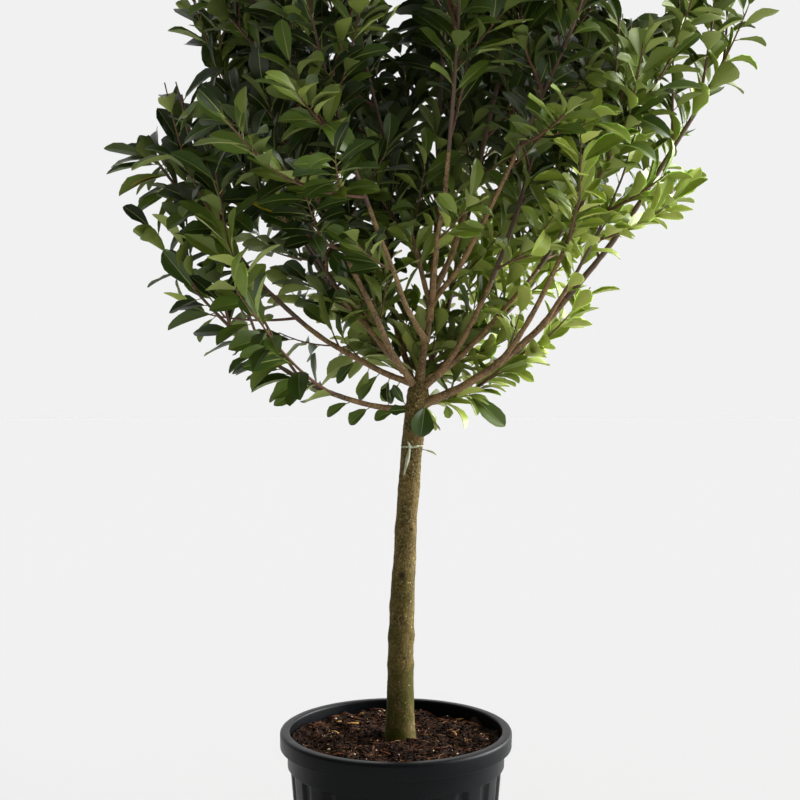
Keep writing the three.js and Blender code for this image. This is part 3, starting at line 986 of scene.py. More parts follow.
@dataclass
class Limb(Wood):
    """One limb of the source's list: an arc from its parent, wandering a little from node to node."""

    foot: Array
    bend: Array
    tip: Array
    girth: float
    parent_radius: float
    seed: int
    taper: float = 0.6
    collar: float = 0.22
    collar_length: float = 0.04
    slim: float = 0.76
    crotch: float = 0.4
    crotch_length: float = 7
    wander: float = 3.2
    wander_from: Span = (20, 130)
    node_length: float = 105
    axis_apart: float = 31.7
    bud_spacing: float = 38
    bud_drift: float = 0.3
    bud_drift_length: float = 61
    bud_width: float = 0.07
    bud_rise: float = 0.6
    # These lumps are as high as given on a limb of this radius, and lower on a slimmer one.
    lumps: tuple[Lumps, ...] = (Lumps(0.75, 13, 15), Lumps(0.5, 5, 16))
    lumps_for: float = 8
    fewest_rings: int = 6

    def arc(self, share: Array) -> Array:
        """Finds the limb's arc, with the small kinks that old buds leave.

        Args:
            share: Shares of the limb.

        Returns:
            The arc's points.
        """
        share = np.asarray(share, float)[..., None]
        plain = bowed(self.foot, self.bend, self.tip, share)
        span = float(np.linalg.norm(self.tip - self.foot))
        along = share * span * np.array([1.0, 0.0, 0.0])
        kinks = np.stack([lattice_noise(along + self.axis_apart * axis, self.node_length, self.seed + axis)
                          for axis in range(3)], axis=-1)
        return plain + self.wander * kinks * smoothstep(share * span, *self.wander_from)

    def radius(self, share: Array) -> Array:
        """Finds the girth, which tapers from a collar and a crotch at the parent to the tip.

        Args:
            share: Shares of the limb.

        Returns:
            The radius.
        """
        share = np.maximum(np.asarray(share, float), 0)
        swell = self.collar * np.exp(-share / self.collar_length)
        away = share * np.linalg.norm(self.tip - self.foot) / (self.parent_radius + self.crotch_length)
        return self.slim * self.girth * (1 - self.taper * share + swell + self.crotch * np.exp(-(away**2)))

    def rings(self, low: float, high: float) -> Array:
        """Lays out part of the limb, with fine bark relief and a ridge at each old bud.

        Args:
            low: The share where it starts.
            high: The share where it ends.

        Returns:
            Rings of points.
        """
        count = max(self.fewest_rings, int(self.length * (high - low) / self.rings_apart))
        share = np.linspace(low, high, count)
        plain = sweep(self.arc(share), self.tangent(share), self.side, self.radius(share), self.sides)
        centre = self.arc(share)[:, None, :]
        along = share * self.length
        buds = along / self.bud_spacing + self.bud_drift * np.sin(along / self.bud_drift_length + self.seed)
        ridge = np.exp(-(((buds % 1) - 0.5) / self.bud_width) ** 2)[:, None]
        stout = self.radius(share)[:, None] / self.lumps_for
        relief = stout * (sum(layer.at(plain) for layer in self.lumps) + self.bud_rise * ridge)
        return plain + unit(plain - centre) * relief[..., None]


# Name, parent, foot (a height on the trunk or a share of another parent), azimuth in degrees, reach, rise,
# sag, girth and the share that is bare.
LIMB_ROWS = (
    ("leader", "trunk", 940, 0, 22, 160, 6, 10.5, 1),
    ("left_low", "trunk", 897, 191, 376, 196, 54, 7.5, 0.34),
    ("right_low", "trunk", 902, 350, 514, 570, 104, 10, 0.5),
    ("back_right", "trunk", 912, 66, 400, 690, 85, 8, 0.28),
    ("back_left", "trunk", 918, 108, 390, 690, 85, 8, 0.28),
    ("right_mid", "trunk", 926, 344, 256, 590, 105, 8, 0.5),
    ("left_up", "trunk", 928, 216, 290, 580, 66, 8, 0.48),
    ("left_long", "trunk", 938, 184, 448, 384, 66, 7.5, 0.44),
    ("left_high", "left_up", 0.1, 166, 360, 600, 60, 6.5, 0.34),
    ("left_back", "back_left", 0.12, 144, 385, 500, 70, 6.5, 0.3),
    ("right_back", "back_right", 0.12, 30, 470, 500, 72, 6.5, 0.3),
    ("right_high", "right_mid", 0.13, 7, 400, 600, 80, 6.5, 0.44),
    ("right_fork", "right_low", 0.42, 318, 150, 230, 15, 5.5, 0.42),
    ("right_inner", "right_low", 0.27, 322, 250, 500, 70, 7, 0.5),
    ("right_spray", "trunk", 906, 20, 175, 75, 22, 4.5, 0.3),
    ("stem_right", "leader", 0.97, 352, 175, 690, 100, 7.5, 0.4),
    ("stem_centre", "leader", 0.92, 62, 70, 760, 10, 6.5, 0.32),
    ("stem_left", "leader", 0.84, 196, 165, 620, 25, 6, 0.34),
    ("front_left", "leader", 0.5, 246, 414, 440, 50, 6.5, 0.56),
    ("front_mid", "leader", 0.72, 275, 420, 520, 50, 6.5, 0.56),
    ("front_right", "leader", 0.88, 302, 414, 450, 50, 6.5, 0.58),
)


@dataclass
class Frame:
    """Trunk and boughs: the wood that shows below the foliage, in two pieces of bark."""

    trunk: Trunk = field(default_factory=Trunk)
    bough_rings_apart: float = 5.0
    bough_sides: int = 16
    first_seed: int = 50
    seed_step: int = 7
    trunk_bark: MagnoliaBark = MagnoliaBark(
        "magnolia_bark_stem_weathered", "68532f", "3e2f17", "a0915f", "3b3d08", "bdae7a", 0.95, 740, 0.15,
        scars=((10, -19.6, 611, 6.5), (26, -17.5, 690, 3.5), (15, -21, 470, 3.0), (-2, -18, 536, 2.5)))
    limb_bark: MagnoliaBark = MagnoliaBark(
        "magnolia_bark_bough_smooth", "83633d", "543d22", "ad9262", "62592f", "b8a27c", 0.2, 900, 0.4,
        mottle=16.0, roughness=0.5)

    def limbs(self) -> dict[str, Wood]:
        """Lays out the trunk and every limb of the list.

        Returns:
            The woody lines by name.
        """
        found: dict[str, Wood] = {"trunk": self.trunk}
        for number, (name, parent, foot, azimuth, reach, rise, sag, girth, bare) in enumerate(LIMB_ROWS):
            carrier = found[parent]
            share = self.trunk.share_at(foot) if parent == "trunk" else foot
            outward = spokes(math.radians(azimuth))
            start = carrier.arc(share)
            tip = start + outward * reach + UP * rise
            bend = (start + tip) / 2 - UP * 2 * sag
            found[name] = Limb(
                name=name, bare=bare, side=unit(np.cross(UP, outward)), rings_apart=self.bough_rings_apart,
                sides=self.bough_sides, foot=start, bend=bend, tip=tip, girth=girth,
                parent_radius=float(carrier.radius(share)), seed=self.first_seed + self.seed_step * number)
        return found

    def build(self, limbs: dict[str, Wood]) -> None:
        """Makes the bark of the trunk and of the boughs.

        Args:
            limbs: Every woody line by name.
        """
        maker = MeshMaker()
        add_tube(maker, self.trunk.rings())
        settle(maker.make("trunk_bark", [self.trunk_bark.material()]), ["trunk"])
        maker = MeshMaker()
        boughs = [limb for limb in limbs.values() if isinstance(limb, Limb)]
        for limb in boughs:
            add_tube(maker, limb.rings(0.0, limb.bare))
        nodes = [limb.name if limb.name == "leader" else f"bough_{limb.name}" for limb in boughs]
        settle(maker.make("bough_bark", [self.limb_bark.material()]), nodes)


def distance_to_lines(points: Array, starts: Array, ends: Array) -> Array:
    """Distances from points to straight pieces of line.

    Args:
        points: The points.
        starts: Where the pieces begin.
        ends: Where they end.

    Returns:
        One row for each point, one column for each piece.
    """
    along = ends - starts
    share = ((points[:, None, :] - starts) * along).sum(axis=-1) / (along * along).sum(axis=-1)
    nearest = starts + along * np.clip(share, 0, 1)[..., None]
    return np.linalg.norm(points[:, None, :] - nearest, axis=-1)


@dataclass
class Shoot:
    """A twig: an arc that sets off at an angle, turns up to the light and ends where its room does."""

    foot: Array
    bend: Array
    tip: Array
    end: float
    reach: float
    number: int
    order: int
    foot_radius: float
    tip_radius: float
    seed: int

    def arc(self, share: Array) -> Array:
        """Points of the arc."""
        return bowed(self.foot, self.bend, self.tip, np.asarray(share, float)[..., None])

    def tangent(self, share: Array) -> Array:
        """Directions of the arc."""
        share = np.asarray(share, float)[..., None]
        return unit((self.bend - self.foot) * (1 - share) + (self.tip - self.bend) * share)


@dataclass
class StemEnd(Shoot):
    """The leafy end of a limb's stem, which takes leaves and finer twigs but no bark of its own."""

    limb: Wood
    low: float

    def arc(self, share: Array) -> Array:
        """Points of the limb's own line."""
        return self.limb.arc(lerp(self.low, 1, np.asarray(share, float)))

    def tangent(self, share: Array) -> Array:
        """Directions of the limb's own line."""
        return self.limb.tangent(lerp(self.low, 1, np.asarray(share, float)))


@dataclass(frozen=True)
class Opening:
    """An opening that shows from the front: its middle in the stem's upright plane, and half its size."""

    x: float
    z: float
    wide: float
    high: float


@dataclass(frozen=True)
class Outline:
    """The crown's outline: a vase that opens from the fork, leans to the right and closes in a dome."""

    heights: tuple[float, ...] = (
        840, 865, 903, 947, 1033, 1120, 1206, 1293, 1336, 1380, 1423, 1466, 1596, 1700, 1800, 1870, 1925)
    radii: tuple[float, ...] = (
        60, 190, 286, 371, 383, 405, 450, 530, 525, 505, 490, 515, 510, 490, 430, 320, 0)
    middles: tuple[float, ...] = (40, 30, -60, -56, -70, -10, 25, -5, -10, 45, 75, 110, 110, 105, 95, 80, 70)
    dome: float = 1600
    front: float = -470
    left: float = -504
    right: float = 606
    eye: Triple = CAMERA_AT
    openings: tuple[Opening, ...] = (
        Opening(-400, 1499, 81, 34), Opening(-487, 1407, 78, 38), Opening(423, 1605, 55, 26),
        Opening(616, 1400, 73, 42), Opening(552, 1333, 66, 16), Opening(338, 1008, 50, 36),
        Opening(392, 1294, 24, 17), Opening(345, 1140, 16, 36), Opening(244, 1047, 20, 36))
    # Openings that twigs may cross and only leaves keep out of.
    leaf_gaps: tuple[Opening, ...] = (
        Opening(-227, 1044, 40, 17), Opening(-310, 1056, 36, 18), Opening(-317, 981, 22, 24))

    def middle(self, points: Array) -> Array:
        """The outline's middle at the height of each point."""
        return np.interp(points[..., 2], self.heights, self.middles)

    def depth(self, points: Array, margin: float | Array = 0) -> Array:
        """Finds how far inside the outline points lie.

        Args:
            points: The points.
            margin: How much the dome is lowered.

        Returns:
            The depth of each, negative outside.
        """
        height = points[..., 2] + np.where(points[..., 2] > self.dome, margin, 0)
        out = np.hypot(points[..., 0] - self.middle(points), points[..., 1])
        inside = np.interp(height, self.heights, self.radii) - out
        sides = np.minimum(points[..., 0] - self.left, self.right - points[..., 0])
        return np.minimum(np.minimum(inside, points[..., 1] - self.front), sides)

    def clear(self, points: Array, openings: Sequence[Opening]) -> Array:
        """Tells which points keep out of openings, as they are seen from the front.

        Args:
            points: The points.
            openings: The openings.

        Returns:
            A flag for each point.
        """
        away = points - np.array(self.eye)
        across, up = (away[..., i] * -self.eye[1] / away[..., 1] + self.eye[i] for i in (0, 2))
        return np.all([np.hypot((across - hole.x) / hole.wide, (up - hole.z) / hole.high) > 1
                       for hole in openings], axis=0)

    def holds(self, points: Array, margin: float | Array = 0) -> Array:
        """Whether points lie inside the outline, less a margin, and in no opening."""
        return (self.depth(points, margin) > margin) & self.clear(points, self.openings)


@dataclass
class Space:
    """The space of one mass: inside the crown, nearer to its own stem than to any other, clear of limbs."""

    limb: Wood
    limbs: dict[str, Wood]
    outline: Outline
    border: float = 3
    clearance: float = 4
    steps: int = 8

    def __post_init__(self) -> None:
        """Lays the stems and the bare wood out as straight pieces of line."""
        every = self.limbs.values()
        leafy = [limb for limb in every if limb.bare < 1 and limb is not self.limb]
        self.own = self.pieces([self.limb.line(self.limb.bare, 1, self.steps)])
        self.others = self.pieces([limb.line(limb.bare, 1, self.steps) for limb in leafy])
        self.wood = self.pieces([limb.line(0, limb.bare, 2 * self.steps) for limb in every])
        girths = [float(limb.radius(np.array(0.0))) + self.clearance for limb in every]
        self.girths = np.repeat(girths, 2 * self.steps)

    @staticmethod
    def pieces(lines: Sequence[Array]) -> tuple[Array, Array]:
        """Starts and ends of the straight pieces that lines are made of."""
        return np.concatenate([line[:-1] for line in lines]), np.concatenate([line[1:] for line in lines])

    def clear_of_wood(self, points: Array) -> Array:
        """Whether points keep off the bare limbs."""
        return (distance_to_lines(points, *self.wood) > self.girths).all(axis=1)

    def holds(self, points: Array, margin: float) -> Array:
        """Tells which points are in this mass's own space.

        Args:
            points: The points.
            margin: How far inside the crown's outline they have to lie.

        Returns:
            A flag for each point.
        """
        own = distance_to_lines(points, *self.own).min(axis=1) + self.border
        free = distance_to_lines(points, *self.others).min(axis=1) > own
        return self.outline.holds(points, margin) & free & self.clear_of_wood(points)


@dataclass
class TwigRule:
    """The source's rule for twigs, carried on to finer ones."""

    # Twigs, as the solids have them.
    seed: int = 42
    mass_seed: int = 1009
    fewest: int = 4
    tries: int = 3
    spacing: float = 60
    first: float = 0.06
    length: float = 300
    shrink: float = 0.55
    vary: float = 0.5
    shortest: float = 60
    spread_foot: float = math.radians(58)
    spread_tip: float = math.radians(30)
    lift: float = 0.45
    steps: int = 8
    edge: float = 50
    apart: float = 6
    foot_radius: float = 2.9
    tip_radius: float = 1.5
    gain: float = 1
    # Finer twigs on them.
    fine_spacing: float = 58
    fine_first: float = 0.1
    fine_last: float = 0.94
    fine_length: float = 235
    fine_vary: Span = (0.7, 1.25)
    fine_shrink: float = 0.45
    fine_shortest: float = 45
    fine_spread: float = math.radians(38)
    fine_spread_vary: Span = (0.8, 1.15)
    fine_turn: float = 2.1
    fine_seed: int = 31
    fine_foot_radius: float = 1.7
    fine_tip_radius: float = 1.05
    lead_spread: float = math.radians(9)
    fine_edge: Span = (36, 130)
    lead_edge: float = 0.2
    shaded: float = 240
    shade_kept: float = 0.35
    # Short shoots on boughs, each pair for those in front and for those behind.
    spur_spacing: Span = (150, 25)
    spur_first: Span = (0.55, 0.14)
    spurred: tuple[str, ...] = ("left_long", "left_up", "left_high")
    spurred_all_round: tuple[str, ...] = ("stem_centre", "stem_left")
    spur_length: Span = (50, 140)
    # How many of its finer twigs a limb keeps, where not all.
    fullness: dict[str, float] = field(default_factory=lambda: {
        "left_low": 0.0, "left_long": 0.4, "right_low": 0.35, "right_spray": 0.0, "right_fork": 0.35,
        "right_inner": 0.45, "right_mid": 0.6})

    def lay(self, foot: Array, axis: Array, side: Array, spread: float, roll: float, reach: float,
            room: Callable[[Array], Array]) -> tuple[Array, Array, float]:
        """Lays one twig's arc and cuts it off where it has no more room.

        Args:
            foot: Where it leaves its carrier.
            axis: The carrier's direction there.
            side: The carrier's sideways direction.
            spread: The angle between the two.
            roll: How far it is turned round its carrier.
            reach: Its length.
            room: Tells which points have room.

        Returns:
            Bend and tip of the arc, and the share of it that has room.
        """
        set_off = turned_from(axis, side, spread, roll)
        lifted = unit(set_off + UP * self.lift)
        bend = foot + set_off * reach / 2
        tip = bend + lifted * reach / 2
        free = room(bowed(foot, bend, tip, (np.arange(self.steps) + 1)[:, None] / self.steps))
        steps = self.steps if free.all() else int(np.argmin(free))
        return bend, tip, steps / self.steps

    def twigs(self, limb: Wood, number: int, space: Space) -> list[Shoot]:
        """Grows the twigs of one mass as the solids have them.

        Args:
            limb: The limb whose end is the mass's stem.
            number: The mass's number.
            space: The mass's space.

        Returns:
            The twigs that have room.
        """
        length = limb.length * (1 - limb.bare)
        count = max(self.fewest, round(length / self.spacing))
        kept: list[Shoot] = []
        for i in range(count):
            random = RandomStream(self.seed + number * self.mass_seed + i)
            along = lerp(self.first, 1, i / (count - 1))
            reach = self.length * (1 - self.shrink * along) * (1 + (random() - 0.5) * self.vary)
            share = lerp(limb.bare, 1, along)
            foot, axis = limb.arc(share), limb.tangent(share)
            spread = lerp(self.spread_foot, self.spread_tip, along)
            best = None
            for turn in range(self.tries):
                roll = i * GOLDEN_ANGLE + number + turn * 2 * math.pi / self.tries
                bend, tip, end = self.lay(foot, axis, limb.side, spread, roll, reach,
                                          lambda points: space.holds(points, self.edge))
                if best is None or reach * end > best.reach + self.gain:
                    best = Shoot(foot, bend, tip, end, reach * end, i, 1, self.foot_radius, self.tip_radius,
                                 self.seed + number * self.mass_seed + i)
            if best.reach > self.shortest and not any(self.meet(best, other) for other in kept):
                kept.append(best)
        return kept

    def meet(self, one: Shoot, other: Shoot) -> bool:
        """Tells whether two twigs run into each other.

        Args:
            one: A twig.
            other: Another.

        Returns:
            Whether they come too near.
        """
        line = other.arc(np.linspace(0, other.end, self.steps + 1))
        points = one.arc(np.linspace(0, one.end, self.steps + 1))
        return bool(distance_to_lines(points, line[:-1], line[1:]).min() < self.apart)

    def finer(self, carriers: Sequence[Shoot], space: Space) -> list[Shoot]:
        """Grows finer twigs on a mass's twigs.

        Args:
            carriers: The twigs.
            space: The mass's space, of which only the crown's outline and the bare limbs bind here.

        Returns:
            The finer twigs that have room.
        """
        found = []
        for carrier in carriers:
            random = np.random.default_rng(carrier.seed)
            count = int(carrier.reach * (1 - self.fine_first) / self.fine_spacing)
            for k in range(count + 1):
                leading = k == count
                along = 1.0 if leading else lerp(self.fine_first, self.fine_last, (k + 0.5) / count)
                share = along * carrier.end
                axis = carrier.tangent(share)
                reach = self.fine_length * (1 - self.fine_shrink * along) * random.uniform(*self.fine_vary)
                spread = self.lead_spread
                if not leading:
                    spread = self.fine_spread * random.uniform(*self.fine_spread_vary)
                roll = self.upper_roll(axis, k * GOLDEN_ANGLE + carrier.number * self.fine_turn)
                foot = carrier.arc(share)
                edge = random.uniform(*self.fine_edge) * (self.lead_edge if leading else 1)
                bend, tip, end = self.lay(
                    foot, axis, sides_of(axis), spread, roll, reach,
                    lambda points: space.outline.holds(points, edge) & space.clear_of_wood(points))
                lit = space.outline.depth(tip) < self.shaded or random.uniform() < self.shade_kept
                lit &= leading or random.uniform() < self.fullness.get(space.limb.name, 1.0)
                if lit and reach * end > self.fine_shortest:
                    found.append(Shoot(foot, bend, tip, end, reach * end, k, 2, self.fine_foot_radius,
                                       self.fine_tip_radius, carrier.seed * self.fine_seed + k))
        return found

    @staticmethod
    def upper_roll(axis: Array, roll: float) -> float:
        """Turns a shoot that would hang below its carrier to the carrier's upper side."""
        return -roll if math.sin(roll) * np.cross(axis, sides_of(axis))[2] < 0 else roll

    def spurs(self, limb: Wood, number: int, space: Space) -> list[Shoot]:
        """Grows short leafy shoots on the outer part of a bare bough, more of them on those at the back.

        Args:
            limb: The bough.
            number: The mass's number.
            space: The mass's space.

        Returns:
            The shoots.
        """
        random = np.random.default_rng(self.mass_seed + number)
        hidden = limb.name in self.spurred
        all_round = limb.name in self.spurred_all_round or limb.tip[1] > limb.foot[1] + self.length / 2
        behind = int(hidden or all_round)
        low = limb.bare * self.spur_first[behind]
        found = []
        for k in range(int(limb.length * (limb.bare - low) / self.spur_spacing[behind])):
            share = random.uniform(low, limb.bare)
            axis = limb.tangent(share)
            reach = random.uniform(*self.spur_length)
            foot = limb.arc(share)
            roll = k * GOLDEN_ANGLE + number
            bend, tip, end = self.lay(foot, axis, limb.side, self.fine_spread, roll, reach,
                                      lambda points: space.outline.holds(points, self.fine_edge[0]))
            before = hidden and tip[1] < limb.arc(share + reach / limb.length)[1] + reach / 4
            if end == 1 and not before:
                found.append(Shoot(foot, bend, tip, end, reach, k, 2, self.fine_foot_radius,
                                   self.fine_tip_radius, self.mass_seed * number + k))
        return found


class Zone(IntEnum):
    """The parts of a leaf that have their own colour."""

    UPPER = 0
    UNDER = 1
    RIB = 2


@dataclass
class LeafRule:
    """The leaf: obovate, folded along the midrib, its tip bent down, on a short stalk."""

    length: float = 58
    width: float = 25.5
    thick: float = 0.45
    length_vary: float = 0.4
    width_vary: float = 0.22
    step: float = 10.2
    foot_clear: float = 14
    old_wood: float = 0.22
    least_wood: float = 0.1
    shoot_points: int = 25
    tip_angle: float = math.radians(16)
    tip_leaves: float = 2.5
    angle: float = math.radians(45)
    angle_vary: float = math.radians(32)
    spray_turn: float = 1.7
    beyond: float = 18
    ranked_below: float = 0.5
    rank_rise: float = 0.3
    rank_vary: float = 0.4
    # Leaves that hang, on the stems that are leafy all along.
    hang_share: float = 0.75
    hang_below: float = 0.8
    hang_drop: float = 0.2
    hang_vary: float = 0.2
    hang_sway: float = 0.5
    sway_grows: float = 1.2
    hang_spacing: float = 1.6
    hang_size: float = 1.18
    # Where upper sides face, each pair for leaves all round a shoot and for those in two ranks.
    toward_tip: Span = (0.75, 0.3)
    toward_sky: Span = (0.55, 0.7)
    outward: float = 0.5
    frontward: float = 0.35
    steepest: float = 0.2
    roll_vary: float = 0.32
    tries: int = 4
    yield_share: float = 0.1
    stalk: float = 9
    stalk_radius: float = 0.85
    stalk_girths: Span = (1.3, 0.9)
    stalk_sunk: float = 1.0
    stalk_lap: float = 3.0
    stalk_drop: float = 0.3
    stations: tuple[float, ...] = (0.08, 0.26, 0.46, 0.66, 0.83, 0.95)
    widths: tuple[float, ...] = (0.26, 0.61, 0.92, 0.99, 0.75, 0.33)
    columns: tuple[float, ...] = (-1, -0.52, -0.01, 0.01, 0.52, 1)
    rib: float = 0.9
    rib_foot: float = 1.25
    rib_share: float = 0.3
    keel: float = 1.5
    pillow: float = 0.05
    fold: Span = (0.18, 0.62)
    curl: float = 0.15
    curl_vary: Span = (2.0, 0.18)
    uneven: float = 0.07
    twist: float = 0.22
    twist_from: float = 0.2
    wave: Span = (0.02, 0.13)
    waves: float = 1.4
    wave_shift: float = 1.1
    seed: int = 7

    def topology(self) -> tuple[Array, Array, Array, Array, Array]:
        """Lays out the faces of one leaf.

        Returns:
            Quads and their zones, triangles and their zones, and flags of the margin's points.
        """
        rows, width = len(self.stations), len(self.columns) + 1
        base, tip, stalk = rows * width, rows * width + 1, rows * width + 2
        quads, quad_zone, triangles, triangle_zone = [], [], [], []
        zones = (Zone.UPPER, Zone.UPPER, Zone.RIB, Zone.UPPER, Zone.UPPER, Zone.UNDER, Zone.UNDER)
        strips = [(column, (column + 1) % width, zone) for column, zone in enumerate(zones)]
        for left, right, zone in strips:
            for row in range(rows - 1):
                here, ahead = row * width, (row + 1) * width
                quads.append((here + right, ahead + right, ahead + left, here + left))
                quad_zone.append(zone)
            end = (rows - 1) * width
            triangles += [(right, left, base), (end + left, end + right, tip)]
            triangle_zone += [zone, zone]
        for i in range(3):
            after = (i + 1) % 3
            quads.append((stalk + i, stalk + after, stalk + 3 + after, stalk + 3 + i))
            quad_zone.append(Zone.RIB)
        triangles += [(stalk + 2, stalk + 1, stalk), (stalk + 3, stalk + 4, stalk + 5)]
        triangle_zone += [Zone.RIB, Zone.RIB]
        margin = np.zeros(stalk + 6, bool)
        edges = (0, len(self.columns) - 1)
        margin[[row * width + column for row in range(rows) for column in edges] + [base, tip]] = True
        return np.array(quads), np.array(quad_zone), np.array(triangles), np.array(triangle_zone), margin

    def shape(self, root: Array, axis: Array, face: Array, size: Array, random: Random) -> Array:
        """Shapes many leaves, each with its own fold, curl, twist and waves.

        Args:
            root: Where each leaf's stalk leaves its twig.
            axis: Its direction.
            face: The direction that its upper side faces.
            size: Its size, 1 for the common one.
            random: Where the leaves' bends are drawn from.

        Returns:
            The points, leaf by leaf.
        """
        count = len(root)
        each = (count, 1, 1)
        length = self.length * size.reshape(each)
        half = self.width * size.reshape(each)
        half = half * random.uniform(1 - self.width_vary, 1 + self.width_vary, each) / 2
        fold = random.uniform(*self.fold, each)
        curl = self.curl + random.gamma(*self.curl_vary, each)
        uneven = random.normal(1, self.uneven, (count, len(self.stations) + 2, len(self.columns) + 1))
        twist = random.normal(0, self.twist, each)
        wave = random.uniform(*self.wave, each)
        phase = random.uniform(0, 2 * math.pi, each)
        share = np.array([*self.stations, 0.0, 1.0])[:, None]
        widths = np.array([*self.widths, 0.0, 0.0])[:, None]
        columns = np.array([*self.columns, 0.0])
        stem = self.rib * (self.rib_foot - share)
        side = columns * widths
        beside_rib = np.abs(columns) == min(np.abs(self.columns))
        ribbed = np.sign(columns) * np.minimum(stem, self.rib_share * half * widths)
        across = np.where(beside_rib, ribbed, side * half * uneven)
        pillow = self.pillow * half * np.sin(math.pi * np.clip(np.abs(columns), 0, 1)) * widths
        ripple = np.sin(2 * math.pi * self.waves * share + phase + np.sign(columns) * self.wave_shift)
        keel = np.where(columns == 0, self.thick + stem * self.keel, 0.0) * np.minimum(widths * 3, 1)
        rise = fold * np.abs(across) + pillow + wave * half * np.abs(side) ** 2 * ripple - keel
        turn = twist * (share - self.twist_from)
        turned = across * np.cos(turn) - rise * np.sin(turn)
        rise = across * np.sin(turn) + rise * np.cos(turn)
        angle = curl * share
        forward = length * np.sin(angle) / curl + rise * np.sin(angle)
        upward = -length * (1 - np.cos(angle)) / curl + rise * np.cos(angle)
        rows = len(self.stations)
        local = np.stack(np.broadcast_arrays(forward, turned, upward), axis=-1)
        blade = np.concatenate((local[:, :rows].reshape(count, -1, 3), local[:, rows:, -1]), axis=1)
        blade[..., 0] += self.stalk
        ring = turns(3)
        ends = []
        for place, girth in zip((-self.stalk_sunk, self.stalk + self.stalk_lap), self.stalk_girths):
            spot = np.stack((np.full(3, place), self.stalk_radius * girth * np.cos(ring),
                             self.stalk_radius * girth * np.sin(ring) - self.stalk_drop), axis=-1)
            ends.append(np.broadcast_to(spot, (count, 3, 3)))
        local = np.concatenate((blade, *ends), axis=1)
        basis = np.stack((axis, np.cross(face, axis), face), axis=1)
        return root[:, None, :] + local @ basis

    def places(self, shoots: Sequence[Shoot], step: float) -> tuple[Array, ...]:
        """Finds where leaves leave shoots, from each tip back towards the foot.

        Args:
            shoots: The shoots.
            step: How far the leaves are apart.

        Returns:
            Roots, the shoots' directions there, numbers counted from the tip, turns of the first leaf and
            numbers of the shoots.
        """
        found = []
        for spray, shoot in enumerate(shoots):
            share = np.linspace(0, shoot.end, self.shoot_points)
            line = shoot.arc(share)
            run = np.concatenate(([0], np.cumsum(np.linalg.norm(np.diff(line, axis=0), axis=1))))
            bare = max(self.foot_clear, run[-1] * self.old_wood if shoot.order == 1 else 0)
            back = np.arange(0, max(run[-1] - bare, self.least_wood), step)
            at = np.interp(run[-1] - back, run, share)
            place = np.arange(len(at))
            spin = np.full(len(at), shoot.number * self.spray_turn + spray)
            found.append((shoot.arc(at), shoot.tangent(at), place, spin, np.full(len(at), spray)))
        return tuple(np.concatenate(column) for column in zip(*found))

    def put(self, maker: MeshMaker, points: Array, tones: Array) -> None:
        """Adds shaped leaves to a mesh.

        Args:
            maker: The mesh.
            points: The leaves' points, leaf by leaf.
            tones: The number of each leaf's tone.
        """
        quads, quad_zone, triangles, triangle_zone, margin = self.topology()
        start = (np.arange(len(points)) * points.shape[1])[:, None, None]
        rib = 2 * len(Tone)
        zones = [np.where(zone == Zone.RIB, rib, tones[:, None] * 2 + np.minimum(zone, Zone.UNDER)).ravel()
                 for zone in (quad_zone, triangle_zone)]
        maker.add(points, ((quads + start).reshape(-1, 4), (triangles + start).reshape(-1, 3)), zones,
                  np.tile(margin, len(points)))


@dataclass(frozen=True)
class LoneLeaf:
    """A leaf that stands by itself: its limb and place there, the way it points and faces, size and tone.

    It leaves the limb on the given side, or else on the side that it points to.
    """

    limb: str
    share: float
    axis: Triple
    face: Triple
    length: float
    width: float
    tone: Tone
    side: Triple | None = None


